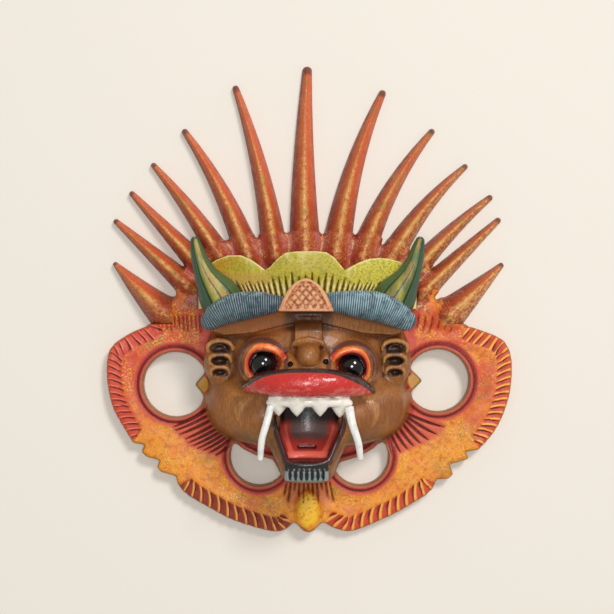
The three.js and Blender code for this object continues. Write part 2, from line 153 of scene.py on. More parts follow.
# %% An egg
TINY = 1e-6           # keeps a division off zero


def ellipsoid(middle, size):
    def shape(x, y, z):
        px, py, pz = (x - middle[0]), (y - middle[1]), (z - middle[2])
        k0 = np.sqrt((px / size[0]) ** 2 + (py / size[1]) ** 2 + (pz / size[2]) ** 2)
        k1 = np.sqrt((px / size[0] ** 2) ** 2 + (py / size[1] ** 2) ** 2 + (pz / size[2] ** 2) ** 2)
        return k0 * (k0 - 1.0) / np.maximum(k1, TINY)
    return shape


print("an egg's distance at its middle:", ellipsoid((0, 0, 0), (2, 3, 4))(0.1, 0, 0).round(2))


# %% A curve and a bar along it
def curve_points(line, count):
    """Points on a Catmull-Rom curve through the given places."""
    line = np.array(line, dtype=float)
    padded = np.vstack([2 * line[0] - line[1], line, 2 * line[-1] - line[-2]])
    spans = len(line) - 1
    places = []
    for t in np.linspace(0, spans, count):
        i = min(int(t), spans - 1)
        u = t - i
        a, b, c, d = padded[i:i + 4]
        places.append(0.5 * (2 * b + (c - a) * u + (2 * a - 5 * b + 4 * c - d) * u ** 2
                             + (3 * b - 3 * c + d - a) * u ** 3))
    return np.array(places)


def bar(line, radii, steps=10, flat=1.0):
    """A round bar along a curve; flat squeezes its depth, radii change evenly along it."""
    places = curve_points(line, steps + 1)
    sizes = np.interp(np.linspace(0, 1, steps + 1), np.linspace(0, 1, len(radii)), radii)

    def shape(x, y, z):
        best = None
        for (a, b, ra, rb) in zip(places, places[1:], sizes, sizes[1:]):
            run = (b - a) * np.array([1, 1, 1 / flat])
            px, py, pz = x - a[0], y - a[1], (z - a[2]) / flat
            t = np.clip((px * run[0] + py * run[1] + pz * run[2]) / (run @ run), 0.0, 1.0)
            away = np.sqrt((px - t * run[0]) ** 2 + (py - t * run[1]) ** 2 + (pz - t * run[2]) ** 2)
            d = away - mix(ra, rb, t)
            best = d if best is None else np.minimum(best, d)
        return best
    low = places.min(0) - sizes.max() * max(1, flat) - 3
    high = places.max(0) + sizes.max() * max(1, flat) + 3
    return low, high, shape


print("a curve through three places:", curve_points([(0, 0, 0), (5, 2, 0), (9, 0, 0)], 3).round(1).tolist())


# %% Short ways to add and cut them
def ball_box(middle, size, spare=4):
    return np.array(middle) - size - spare, np.array(middle) + size + spare


def add_ball(middle, size, finish, soft=0.0):
    size = np.broadcast_to(size, 3)
    add(*ball_box(middle, size), ellipsoid(middle, size), finish, soft)


def add_bar(line, radii, finish, soft=0.0, steps=10, flat=1.0):
    low, high, shape = bar(line, radii, steps, flat)
    add(low, high, shape, finish, soft)


def cut_bar(line, radii, finish=None, soft=0.0, steps=8, flat=1.0):
    low, high, shape = bar(line, radii, steps, flat)
    cut(low, high, shape, finish, soft)


print("forms: ball, bar and gouge stroke")

# %% [markdown]
# ## The plank's outline
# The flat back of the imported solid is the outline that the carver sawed: its edge loops give
# the rays, the collar's scallops and the four pierced holes at their real places.

# %% Edge loops of the flat back
def flat_back_loops(mesh):
    """Closed loops of points, in carver's millimetres, round the faces that lie on the back."""
    places = np.empty(len(mesh.vertices) * 3)
    mesh.vertices.foreach_get("co", places)
    places = (places.reshape(-1, 3) / MM).round(3)
    unique, merged = np.unique(places, axis=0, return_inverse=True)
    flat = np.abs(unique[:, 2]) < 0.01
    count = {}
    for face in mesh.polygons:
        ids = [int(merged[v]) for v in face.vertices]
        if all(flat[i] for i in ids):
            for edge in zip(ids, ids[1:] + ids[:1]):
                count[edge] = count.get(edge, 0) + 1
    follow = {a: b for (a, b) in count if (b, a) not in count}
    loops = []
    while follow:
        start, at = follow.popitem()
        loop = [start]
        while at != start:
            loop.append(at)
            at = follow.pop(at)
        loops.append(unique[loop][:, :2] - np.array([SHIFT_X, 0.0]))
    return sorted(loops, key=lambda loop: -np.prod(np.ptp(loop, axis=0)))


loops = flat_back_loops(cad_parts["mask"].data)
outline, hollow_edge, *holes = loops
print("outline of", len(outline), "points and", len(holes), "holes")

# %% [markdown]
# A flat map of the plank holds, for each place, the distance in from the sawn edge and how far
# along the edge the nearest point lies. Every rim cut is then a pattern along that edge.

# %% Distance maps of the plank
REACH = 26.0          # distances from an edge are kept up to here
plan_x = axes[0][:, None]
plan_y = axes[1][None, :]
plan_shape = (grid_shape[0], grid_shape[1])


def edge_map(loop):
    """Distance to a loop up to REACH, place along it, and whether a point lies inside it."""
    distance = np.full(plan_shape, REACH)
    along = np.zeros(plan_shape)
    inside = np.zeros(plan_shape, dtype=bool)
    travelled = 0.0
    for a, b in zip(loop, np.roll(loop, -1, axis=0)):
        run = b - a
        length = math.hypot(*run)
        low = np.minimum(a, b) - REACH
        high = np.maximum(a, b) + REACH
        i = slice(*np.searchsorted(axes[0], [low[0], high[0]]))
        j = slice(*np.searchsorted(axes[1], [low[1], high[1]]))
        px, py = plan_x[i] - a[0], plan_y[:, j] - a[1]
        t = np.clip((px * run[0] + py * run[1]) / length ** 2, 0.0, 1.0)
        away = np.hypot(px - t * run[0], py - t * run[1])
        nearer = away < distance[i, j]
        distance[i, j] = np.where(nearer, away, distance[i, j])
        along[i, j] = np.where(nearer, travelled + t * length, along[i, j])
        travelled += length
        rows = (axes[1] >= min(a[1], b[1])) & (axes[1] < max(a[1], b[1]))
        crossing = a[0] + (axes[1][rows] - a[1]) / (run[1] or 1.0) * run[0]
        inside[:, rows] ^= plan_x > crossing[None, :]
    return distance, along, inside, travelled


def blurred(values, rounds=1):
    for _ in range(rounds):
        for axis in (0, 1):
            values = (np.roll(values, 1, axis) + 2 * values + np.roll(values, -1, axis)) / 4
    return values


HOLE_WIDER = 0.9      # the smoothing narrows the holes by this much
rim_in, rim_along, inside, rim_length = edge_map(outline)
rim_in = blurred(np.where(inside, rim_in, -rim_in), 2)
hole_in = np.full(plan_shape, REACH)
for hole in holes:
    distance, _, within, _ = edge_map(hole)
    hole_in = np.minimum(hole_in, np.where(within, -distance, distance))
hole_in = blurred(hole_in, 2) - HOLE_WIDER
print("edge of the plank is", round(rim_length), "mm long")

# %% [markdown]
# ## The collar
# The collar is cut in low relief. Round its rim run two files of curved gouge cuts, each one a
# ramp that ends in a small step, like the edge of a shell. A bead borders each pierced hole, a
# fan of long grooves spreads from each cheek, and short strokes hang below the chin.

# %% Rim cuts
BOARD = 12.0          # thickness of the plank
RIM_DEPTH = 2.6       # depth of a rim cut at its step
RIM_CUTS = {"upper": 22, "lower": 13}    # cuts in each file, on each side
RIM_REACH = 24.0      # no cut goes further in than this
MIDDLE_GAP = 8.0      # half the plain stretch below the chin
PHASE_UP = 40         # a whole number that keeps the phase above zero
RIM_ENDS = {
    ("left", "upper"): ((-112, -18), (-130, -107.4)),
    ("left", "lower"): ((-96.5, -138.3), (-10.1, -166.3)),
    ("right", "upper"): ((111, -18), (127, -112.6)),
    ("right", "lower"): ((95.4, -136), (11.5, -166.3)),
}


def place_along(point):
    steps = np.hypot(*(np.roll(outline, -1, axis=0) - outline).T)
    starts = np.concatenate([[0], np.cumsum(steps)[:-1]])
    return starts[np.argmin(np.hypot(*(outline - np.array(point)).T))]


rim_phase = np.zeros(plan_shape)
rim_window = np.zeros(plan_shape)
for (side, part), (first, last) in RIM_ENDS.items():
    start, stop = place_along(first), place_along(last)
    span = (stop - start + rim_length / 2) % rim_length - rim_length / 2
    part_way = ((rim_along - start + rim_length / 2) % rim_length - rim_length / 2) / span
    here = (part_way > 0) & (part_way < 1) & (rim_in < RIM_REACH) & (np.abs(plan_x) > MIDDLE_GAP)
    inward = np.clip(rim_in, 0, 18)
    turn = smoothstep(0.12, 0.34, part_way) if part == "upper" else -1.3
    lean = mix(-0.45, 0.12, turn) if part == "upper" else -0.15
    slant = (lean * inward + 0.03 * turn * inward ** 2) / abs(span)
    phase = (part_way - slant) * RIM_CUTS[part]
    rim_phase = np.where(here, phase + PHASE_UP, rim_phase)
    fade = smoothstep(0, 0.03, part_way) * smoothstep(0, 0.03, 1 - part_way)
    rim_window = np.where(here, fade * (1 - smoothstep(8, 13.5, rim_in)), rim_window)
ramp = rim_phase - np.floor(rim_phase)
rim_relief = -RIM_DEPTH * rim_window * (1 - ramp ** 0.8) * smoothstep(0.0, 0.16, ramp)
print("rim cuts:", 2 * sum(RIM_CUTS.values()))

# %% [markdown]
# A fan of grooves is struck with one V gouge: each stroke starts thin at the cheek, deepens and
# runs out on the collar. Two rows of points give where the strokes start and stop, and the ones
# between are spaced evenly, so no stroke needs its own numbers.

# %% Fans of grooves
FANS = [  # starts, stops, number of strokes
    ([(-80, -85), (-73.1, -87.8), (-68.6, -92.3), (-64.1, -95.9), (-60.5, -98.6), (-57.8, -102.2),
      (-56, -106)],
     [(-109.1, -98.6), (-108.2, -103.1), (-101, -108.5), (-98.3, -113), (-91.1, -115.7), (-83.9, -117.5),
      (-74.9, -120.2)], 10),
    ([(76.7, -86.2), (75.9, -89.2), (74.2, -92.2), (69.9, -93.9), (64.8, -94.7), (62.2, -98.1), (59, -102)],
     [(111.7, -98.1), (104, -106.2), (94.7, -111.8), (86.9, -114.3), (81.8, -117.7), (75, -120.3),
      (66, -122)], 8),
]
fan_depth = np.zeros(plan_shape)
fan_zone = np.zeros(plan_shape)
for starts, stops, count in FANS:
    spread = np.linspace(0, len(starts) - 1, count)
    for t in spread:
        a, b = ([np.interp(t, range(len(row)), [dot[k] for dot in row]) for k in (0, 1)]
                for row in (starts, stops))
        run = np.array(b) - a
        back = np.array(a) - 0.2 * run
        run = np.array(b) - back
        length = math.hypot(*run)
        along = ((plan_x - back[0]) * run[0] + (plan_y - back[1]) * run[1]) / length ** 2
        sag = 1.5 * np.sin(math.pi * np.clip(along, 0, 1)) * np.sign(run[0])
        off = np.abs((plan_x - back[0]) * run[1] - (plan_y - back[1]) * run[0] - sag * length) / length
        half = 1.5 * smoothstep(1.0, 0.35, along) * smoothstep(-0.1, 0.1, along) + 0.05
        fan_depth = np.maximum(fan_depth, np.clip(1 - off / half, 0, 1) * smoothstep(0.25, 0.7, half))
        reach = smoothstep(0.98, 0.6, along) * smoothstep(-0.1, 0.1, along)
        fan_zone = np.maximum(fan_zone, reach * smoothstep(4.0, 2.0, off))
print("fan strokes:", sum(count for _, _, count in FANS))

# %% Short strokes below the chin and along the top
BEARD_STROKES = 11
STROKE_HALF = 1.3     # half the width of a stroke
beard = np.zeros(plan_shape)
for i in range(BEARD_STROKES):
    x0 = mix(-15.5, 16.5, i / (BEARD_STROKES - 1))
    drift = x0 - (plan_y + 137) * 0.012 * x0
    bottom = -151 - 5 * math.sin(i * 2.1)
    inside_stroke = smoothstep(bottom, bottom + 7, plan_y) * smoothstep(-134, -138, plan_y)
    beard = np.maximum(beard, np.clip(1 - np.abs(plan_x - drift) / STROKE_HALF, 0, 1) * inside_stroke)

TOP_STROKES = [(np.arange(-111, -78, 3.1), -13, -27), (np.arange(77, 113, 5.2), -14, -28)]
for centres, top, bottom in TOP_STROKES:
    for number, centre in enumerate(centres):
        foot = bottom + 2.0 * math.sin(number * 1.7)
        bend = centre + 0.02 * (plan_y - top) ** 2 * (-1 if centre > 0 else 0.3)
        here = smoothstep(foot, foot + 6, plan_y) * smoothstep(top + 3, top - 1, plan_y)
        beard = np.maximum(beard, np.clip(1 - np.abs(plan_x - bend) / STROKE_HALF, 0, 1) * here * 0.8)
print("short strokes:", BEARD_STROKES + sum(len(row[0]) for row in TOP_STROKES))

# %% [markdown]
# Every edge is eased with sandpaper, each pierced hole gets a raised bead and a groove round it,
# and the middle of the board is dished. Gaussian bumps along the distance from the hole give the
# bead and the groove their soft section.

# %% Beads, tongues and the board's top
TONGUES = [(-80.5, -63.9), (82, -61)]
tongue = np.max([smoothstep(9, 6, np.hypot(plan_x - x, (plan_y - y) * 1.1)) for x, y in TONGUES], axis=0)
bead_crest = np.exp(-((hole_in - 1.6) / 1.3) ** 2) * (1 - tongue)
hole_groove = np.exp(-((hole_in - 4.6) / 1.2) ** 2) * (1 - tongue)
rim_round = 3.0 - np.sqrt(np.clip(9.0 - np.clip(3.0 - rim_in, 0, 3) ** 2, 0, 9))
hole_round = 2.0 - np.sqrt(np.clip(4.0 - np.clip(1.6 - hole_in, 0, 2) ** 2, 0, 4))
dish = -1.2 * smoothstep(12, 20, rim_in) * smoothstep(4, 12, hole_in)
collar_top = (BOARD + 0.3 + rim_relief - 2.4 * fan_depth - 1.8 * beard + 0.5 * bead_crest - 2.0 * hole_groove
              - rim_round - hole_round + dish)
plank = np.maximum(-rim_in, -hole_in)
print("collar top from", collar_top[plank < 0].min().round(1), "to", collar_top[plank < 0].max().round(1),
      "mm")

# %% Collar wood
# Above the head the board ends in a rounded hub, from which the rays go on alone.
hub_edge = ((np.abs(plan_x) / 99) ** 3 + (np.abs(plan_y + 20) / 69) ** 3) ** (1 / 3) * 75 - 75
hub_edge = np.where(plan_y < -19, -REACH, hub_edge)


def collar_shape(x, y, z, cuts):
    i, j = cuts[0], cuts[1]
    side = np.maximum(plank, hub_edge)[i, j][..., None]
    top = (z - collar_top[i, j][..., None]) * 0.8
    return np.maximum(np.maximum(side, top), -z)


board_cuts, (bx, by, bz) = region((-170, -190, -4), (170, 60, 26))
distance = collar_shape(bx, by, bz, board_cuts)
field[board_cuts] = np.minimum(field[board_cuts], distance)
paint[board_cuts] = CODE["collar"]
ray_ground = np.broadcast_to((by > 6) | ((by > -8) & (np.abs(bx) < 90)), paint[board_cuts].shape)
paint[board_cuts] = np.where(ray_ground, CODE["rays"], paint[board_cuts])
print("collar added,", int((field[board_cuts] < 0).sum()), "voxels of wood")

# %% [markdown]
# ## The rays
# Thirteen rays spread from behind the crown. Each is flat behind, round at the sides and has a
# crest along its front, so its section is a squashed arch; each leans out in a slight bow.

# %% Rays
RAYS = [  # foot, tip, width at the foot and at the tip, bow to the right
    ((-108, -10), (-145.3, 27), 26, 4, -0.6),
    ((-89, 9), (-145, 59), 19, 4.4, 0.2),
    ((-81, 25), (-133, 80), 18, 4.4, 0),
    ((-65, 31), (-116.6, 101.4), 19, 4.4, 2),
    ((-44, 30.5), (-93, 127), 21, 5, 3.9),
    ((-24, 30), (-54.4, 159.7), 21, 5.2, 3.7),
    ((-1.5, 30), (-0.2, 174), 25, 7.6, -1.9),
    ((21, 30), (56.8, 156.2), 24, 5.8, -5.3),
    ((40, 28.5), (94.2, 127), 21, 5, -5.6),
    ((59, 24), (119.4, 100.4), 21, 4.6, -4.7),
    ((77, 17), (138.2, 77), 18.5, 4.8, -2.2),
    ((85.4, 4.6), (144.4, 60), 18, 4.8, -0.2),
    ((106, -12), (146.6, 26.2), 26, 4.4, 0.3),
]
RAY_FOOT_HIGH = 19.0
RAY_TIP_HIGH = 6.5
ARCH = 1.5            # 2 is a round section, 1 a pointed one


def ray_place(ray, x, y):
    """How far along a ray a place lies, 0 to 1, how far across, -1 to 1, and the local sizes."""
    foot, tip, wide, end, bow = ray
    foot, tip = np.array(foot, float), np.array(tip, float)
    length = math.hypot(*(tip - foot)) - end / 2
    along = (tip - foot) / math.hypot(*(tip - foot))
    run = (x - foot[0]) * along[0] + (y - foot[1]) * along[1]
    t = np.clip(run / length, 0.0, 1.0)
    across = (x - foot[0]) * along[1] - (y - foot[1]) * along[0] - bow * 4 * t * (1 - t)
    half = mix(wide, end, t) / 2
    beyond = run - t * length
    high = mix(RAY_FOOT_HIGH, RAY_TIP_HIGH, t)
    return t, across, beyond, half, high


def ray_shape(ray):
    def shape(x, y, z):
        t, across, beyond, half, high = ray_place(ray, x, y)
        s = np.hypot(across, beyond) / half
        arch = (s ** ARCH + np.abs(z / high) ** ARCH) ** (1 / ARCH) - 1
        return np.maximum(arch * np.minimum(half, high), -z)
    return shape


for ray in RAYS:
    foot, tip, wide = np.array(ray[0]), np.array(ray[1]), ray[2]
    low = np.array([*(np.minimum(foot, tip) - wide / 2 - 3), -4])
    high = np.array([*(np.maximum(foot, tip) + wide / 2 + 3), RAY_FOOT_HIGH + 4])
    add(low, high, ray_shape(ray), "rays", 6.0 if abs(ray[0][0]) > 100 else 2.5)
print(len(RAYS), "rays")

# %% [markdown]
# ## The head
# Skull, brow, muzzle and cheeks are eggs of different sizes that melt into one another, the way
# a carver rounds the block before any feature is cut.

# %% Skull, cheeks and jaw
add_ball((0, -46, 4), (77, 60, 42), "face", 2.5)
add_ball((0, -37, 12), (60, 37, 49), "face", 8)
add_ball((0.3, -60, 40), (38, 26, 42), "face", 8)
for side in (-1, 1):
    add_ball((side * 49.5, -78, 15), (24.5, 25.5, 33), "face", 9)
    add_ball((side * 33, -86, 30), (22, 21, 27), "face", 12)

JAW = np.array(  # y, half width, height
    [[-80, 36, 48], [-97, 33, 60], [-110, 27.5, 68], [-121, 21.5, 71], [-129, 19, 70], [-133, 15, 60]])


def jaw_shape(x, y, z):
    half = np.interp(-y, -JAW[:, 0], JAW[:, 1])
    front = np.interp(-y, -JAW[:, 0], JAW[:, 2])
    s = ((np.abs(x) / half) ** 4 + (np.clip(z, 0, None) / front) ** 4) ** 0.25 - 1
    return np.maximum(np.maximum(s * half * 0.8, (-131.5 - y)), y + 78)


add((-45, -140, -4), (45, -76, 85), jaw_shape, "face", 4)
print("head up to", round(float(axes[2][(field < 0).any(axis=(0, 1))].max()), 1), "mm")

# %% [markdown]
# The brow stands forward like the peak of a cap; under the blue roll its wood is scooped to a
# smooth cove that ends above the eyes.

# %% Brow cove and hair roll
def roll_z(x):
    return 67 - 22 * (np.abs(x) / 76) ** 2.2


ROLL_Y = [[-76, -17], [-70, -15.2], [-62, -10.6], [-50, -6.5], [-35, -4.4], [-19, -4.2], [0, -3.8],
          [19, -3],
          [35, -4], [50, -6.3], [62, -10.8], [71, -16], [78, -18]]
COVE_LOW = [[-76, -22], [-60, -26.5], [-40, -25], [-20, -20], [0, -16], [20, -20], [40, -25], [62, -26.5],
            [78, -22]]


def along_x(table, x):
    table = np.array(table)
    return np.interp(x, table[:, 0], table[:, 1])


def cove_shape(x, y, z):
    low, high = along_x(COVE_LOW, x), along_x(ROLL_Y, x)
    u = np.clip((y - low) / (high - low), 0, 1)
    forehead = 58 - 22 * (x / 70) ** 2
    top = mix(forehead, roll_z(x) + 3, 1 - np.sqrt(np.clip(1 - u ** 2, 0, 1)))
    edges = np.maximum(low - y, y - high)
    return np.maximum(np.maximum((z - top) * 0.7, edges), np.abs(x) - 72)


add((-80, -32, 20), (80, 6, 80), cove_shape, "face", 2)
left_roll = [(-70, -16, 46), (-62, -10.8, 52), (-50, -6.5, 58.5), (-35, -4.4, 63.5), (-20, -4.2, 66),
             (-8, -4.4, 67)]
right_roll = [(71, -16, 46), (62, -11, 52), (50, -6.3, 58.5), (35, -4.2, 63.5), (20, -3, 66), (8, -3.4, 67)]
add_bar(left_roll, [7.2, 9.2, 10.6, 9.2, 5.6, 5], "roll", 0.6, 14)
add_bar(right_roll, [7.4, 9.4, 10.9, 9.8, 7.4, 6], "roll", 0.6, 14)
print("cove and two rolls")

# %% [markdown]
# ## Crown, horns and jewel
# The crown is a thin curved frill that leans forward off the rays, with three lobes and a row
# of flutes cut up from its foot. The horns grow from behind the roll; the jewel sits before it.

# %% Crown frill
LOBES = [[-80, 20], [-66, 28], [-58, 31], [-48, 31], [-40.5, 27.6], [-35, 23.8], [-30.4, 20.2], [-27, 22.5],
         [-22, 28], [-16, 32.6], [-8, 33.6], [5, 33.8], [13.5, 33], [19, 29.5], [24, 23.6], [26.9, 20.2],
         [31, 22.5],
         [36.7, 25.6], [44, 28.3], [52, 29.2], [58, 28.8], [68, 26.4], [80, 22]]


def crown_front(x, y):
    return 46 - 18 * (x / 76) ** 2 + 5 * (y + 4) / 34


FLUTE_WAYS = np.linspace(-80, 80, 641)
flute_pitch = mix(4.4, 2.75, smoothstep(14, 40, np.abs(FLUTE_WAYS)))
flute_count = np.concatenate([[0], np.cumsum(0.25 / flute_pitch[1:])])
flute_count -= np.interp(-1.3, FLUTE_WAYS, flute_count)


def crown_flutes(x, y):
    """Depth of the flutes, 0 to 1, on the crown's face; they lean out towards the sides."""
    lean = 0.6 * np.clip(np.abs(x) / 55, 0, 1) ** 1.2
    foot = x - np.sign(x) * lean * (y - 4)
    phase = np.interp(foot, FLUTE_WAYS, flute_count)
    pitch = np.interp(foot, FLUTE_WAYS, flute_pitch)
    off = np.abs(phase - np.round(phase)) * pitch
    high = mix(19, 13, smoothstep(10, 34, np.abs(foot))) + 1.5 * np.sin(np.round(phase) * 2.3)
    width = mix(0.3, 1.25, smoothstep(high, high - 9, y))
    return np.clip(1 - off / width, 0, 1) * smoothstep(high, high - 3, y)


def crown_shape(x, y, z):
    top = along_x(LOBES, x)
    front = crown_front(x, y) - 2.0 * crown_flutes(x, y)
    thick = mix(26, 6, np.clip((y + 6) / (top + 6), 0, 1))
    rim = (y - top) * 0.75
    return np.maximum(np.maximum(z - front, front - thick - z), np.maximum(rim, -8 - y))


add((-80, -8, 10), (80, 38, 58), crown_shape, "crown", 0.5)
print("crown up to y", max(y for _, y in LOBES))

# %% [markdown]
# A horn is a fat bar that tapers and bends upwards, so a row of points and radii gives it. The
# right one is the left one mirrored, as a carver lays out a pair with one template.

# %% Horns
HORN = [(61, -4, 38), (64.2, 2, 43), (68.3, 8.5, 46), (73, 16.5, 48.5), (77.2, 27, 50.5), (79.3, 35.5, 52),
        (80.6, 40.8, 53)]
HORN_RADII = [16, 14.6, 11.4, 8.5, 6.1, 4.8, 3.4]
for side in (-1, 1):
    add_bar([(side * x, y, z) for x, y, z in HORN], HORN_RADII, "horns", 0.6, 12, 0.85)

print("horns from", HORN[0], "to", HORN[-1])

# %% [markdown]
# The jewel is a flat-fronted arch that stands out before the roll. Its plain border is left at
# full height, and inside it two sets of slanting V cuts cross to leave lozenges.

# %% Jewel
JEWEL_FOOT = -9.5
JEWEL_APEX = 14.0
JEWEL_MIDDLE = -1.2
LATTICE = 6.4         # upright distance between two cuts that run the same way
JEWEL_SIDES = [[-9.5, 19.6], [-8.2, 19.3], [-0.7, 15.9], [4.7, 13.2], [8, 10.6], [10.2, 8.2], [12.2, 5],
               [13.4, 2.6], [14, 0]]


def jewel_inside(x, y):
    """How far inside its arch a place on the jewel lies."""
    sides = np.array(JEWEL_SIDES)
    half = np.interp(y, sides[:, 0], sides[:, 1])
    return np.minimum((half - np.abs(x - JEWEL_MIDDLE)) * 0.8, JEWEL_APEX - y)


def jewel_lattice(x, y):
    lines = [np.abs(((y + slope * (x - JEWEL_MIDDLE)) / LATTICE + 0.5) % 1 - 0.5) * LATTICE * 0.66
             for slope in (-1.15, 1.15)]
    inset = smoothstep(2.2, 3.0, jewel_inside(x, y))
    return np.clip(1 - np.minimum(*lines) / 0.85, 0, 1) * inset * smoothstep(-8.5, -6, y)


def jewel_shape(x, y, z):
    inward = jewel_inside(x, y)
    edge = np.maximum(-inward, JEWEL_FOOT - y)
    inset = smoothstep(2.0, 3.0, inward)
    top = 78 - 0.012 * (x - JEWEL_MIDDLE) ** 2 - 0.9 * inset - 1.1 * jewel_lattice(x, y) - 0.12 * (y - 2)
    return np.maximum(np.maximum(z - top, edge), 52 - z)


add((-24, -14, 50), (24, 19, 82), jewel_shape, "jewel", 0.4)
print("jewel from", JEWEL_FOOT, "to", JEWEL_APEX)

# %% [markdown]
# ## Eyes
# Each eye is a polished ball in a socket, hooded by a thick curved lid. The socket is sunk into
# a mound first, so that the lids can be laid round its edge as two thin bars.

# %% Eyes
EYE_BALL = 10.1
EYES = {-1: (-31.8, -46.6, 57.5), 1: (31.7, -48.8, 57.5)}
for side, (ex, ey, ez) in EYES.items():
    add_ball((ex, ey + 1, ez - 8), (19, 19, 17), "face", 4)
    crease = [(ex + side * a, ey + b, c) for a, b, c in
              [(13, -9, 56), (14.5, 2, 59), (9.5, 12, 62), (-1, 16, 63.5), (-11, 14, 63), (-16.5, 8, 62)]]
    cut_bar(crease, [1.6, 2.2, 2.4, 2.4, 2.2, 1.2], None, 1.2)
    cut(*ball_box((ex, ey, ez + 9), np.array([13, 12.5, 13])), ellipsoid((ex, ey, ez + 9), (13, 12.5, 13)),
        "lids", 1)
    lid = [(ex + side * a, ey + b, c) for a, b, c in
           [(11, -7.5, 60), (10.6, 3, 63), (4.4, 11, 66), (-4.4, 11.4, 67), (-12.5, 7.5, 66.5),
            (-17, 0.5, 64)]]
    add_bar(lid, [1.2, 2.3, 3.1, 3.2, 2.6, 1.3], "lids", 0.8)
    under = [(ex + side * a, ey + b, c) for a, b,
             c in [(11, -6.5, 59), (7, -10.5, 61), (-3, -12, 64), (-12, -8, 65)]]
    add_bar(under, [1.4, 1.8, 1.8, 1.4], "lids", 0.8)
    add_ball((ex, ey, ez), EYE_BALL, "eyes", 0.0)
print("eyes at", list(EYES.values()))

# %% [markdown]
# ## Nose
# A deep cut each side frees the bridge of the nose from the brow. The snout is a rounded ridge
# in front of it, with a wrinkle above and a drilled nostril each side.

# %% Nose
for x in (-11.8, 13.2):
    cut_bar([(x, -14, 66), (x, -24, 64), (x * 1.02, -35, 64)], [2.4, 2.8, 1.2], None, 1.0)


def bridge_shape(x, y, z):
    top = mix(68, 60, smoothstep(-24, -15, y)) - 0.015 * (x - 0.7) ** 2
    return np.maximum(np.maximum(np.abs(x - 0.7) - 9.6, z - top), np.maximum(-34 - y, y + 13))


add((-12, -38, 44), (14, -10, 74), bridge_shape, "face", 1.2)


def snout_shape(x, y, z):
    across = np.abs((x - 0.6) / 9.0) ** 2.6
    along = np.abs((y + 41.5) / 11.0) ** 2.6
    high = np.abs((z - 60) / 21.0) ** 2.2
    return (np.maximum(across + along + high, 1e-6) ** (1 / 2.4) - 1) * 9.0


add((-14, -56, 40), (15, -28, 86), snout_shape, "face", 0.8)
add_bar([(-11, -35, 62), (-8, -31.5, 66), (0.6, -29.5, 68.5), (9.5, -31.5, 66), (12, -35, 62)],
        [1.2, 1.9, 2, 1.9, 1.2],
        "face", 0.8, 12)
for x, y in ((-12.2, -46.8), (12.9, -45)):
    add_bar([(x - 1.5, y + 5, 62), (x + 0.3, y + 1.5, 66), (x, y - 3, 68)], [3, 3.8, 3], "face", 1.5)
    cut(*ball_box((x, y, 72), np.array([3.0, 3.0, 5])), ellipsoid((x, y, 72), (1.8, 1.8, 6)), "throat", 0.6)
print("nose with two nostrils")

# %% [markdown]
# ## Mouth
# The mouth is a deep hollow with a scooped floor,
# edged below by a raised dark lip; the chin carries short upright strokes.

# %% Mouth hollow
MOUTH_TOP = -71.0
MOUTH_FOOT = -115.5


def mouth_side(x, y):
    """Distance in from the side of the mouth's opening, negative outside."""
    centre = 1.3 * smoothstep(-116, -92, y)
    half = mix(14.3, 23.2, smoothstep(-119, -90, y))
    side = (half - np.abs(x - centre)) * 0.93
    return np.minimum(np.minimum(side, MOUTH_TOP - y), y - MOUTH_FOOT)


def mouth_shape(x, y, z):
    deep = 1 - smoothstep(44, 66, z)
    wall = -(mouth_side(x, y) - 4.5 * deep)
    floor = 41 + 15 * smoothstep(-96, -114, y) + 0.02 * x ** 2
    return np.maximum(wall, floor - z)


cut((-32, -122, 36), (32, -66, 100), mouth_shape, "throat", 1.6)
cut((-9, -110, 40), (9, -104, 62), lambda x, y, z: np.maximum(np.abs(x + 0.5) - 6.8, np.abs(y + 107) - 1.4)
    + 0 * z, "throat", 0.5)
rim_line = [(-23.5, -84, 56), (-22, -94, 61), (-18.2, -106, 66.5), (-15, -115, 71), (-7, -117.6, 73),
            (0, -117.9, 73.5),
            (7, -117.6, 73), (14.6, -115, 71), (19, -106, 66.5), (24, -94, 61), (26, -84, 56)]
add_bar(rim_line, [0.8, 1.4, 1.8, 2.1, 2.2, 2.2, 2.2, 2.1, 1.8, 1.4, 0.8], "chin", 1.2, 20)


def chin_shape(x, y, z):
    phase = (x + 0.6) / 3.9
    groove = np.clip(1 - np.abs(phase - np.round(phase)) * 3.9 / 0.9, 0, 1)
    top = 75.5 - 0.012 * x ** 2 - 1.3 * groove * smoothstep(-119.5, -122, y) - 0.2 * np.abs(y + 122)
    return np.maximum(np.maximum(np.abs(x + 0.7) - 15.6, z - top), np.maximum(-129.2 - y, y + 117))


add((-20, -133, 55), (20, -114, 80), chin_shape, "chin", 0.6)
print("mouth from y", MOUTH_FOOT, "to", MOUTH_TOP)

# %% [markdown]
# ## Lip
# The upper lip curls forward over the teeth. It is one fat bar bent round the muzzle, and a
# thinner bar along its top edge takes the black line; both are one wood, so one finish covers
# them, and a painted line is drawn on it later by its distance from `LIP_LINE`.

# %% Lips
lip_line = [(-44, -63.5, 62), (-34, -60.5, 75), (-20, -59.5, 84), (0.5, -59.5, 87), (20, -59.8, 84),
            (34, -62, 75),
            (45.5, -66, 62)]
add_bar(lip_line, [3, 7.2, 9.4, 9.8, 9.4, 7.6, 3], "lip", 1.0, 14, 0.95)
edge_line = [(-43, -66, 60), (-43.5, -62.5, 64), (-36, -56.8, 76), (-20, -52.2, 85.5), (0.5, -51.4, 88.5),
             (20, -52.4, 85.5), (36, -58.8, 76), (44.5, -65, 64), (44, -68, 60)]
add_bar(edge_line, [1.6, 2.3, 2.3, 2.3, 2.3, 2.3, 2.3, 2.3, 1.6], "lip", 0.6, 16)
LIP_LINE = [(-47, -66), (-41.5, -61.5), (-30.4, -55.3), (-14.2, -52.2), (10.7, -52.2), (23, -54.6),
            (35.6, -60.2),
            (43, -65.2), (47, -69)]
print("lip", lip_line[-1][0] - lip_line[0][0], "mm wide")

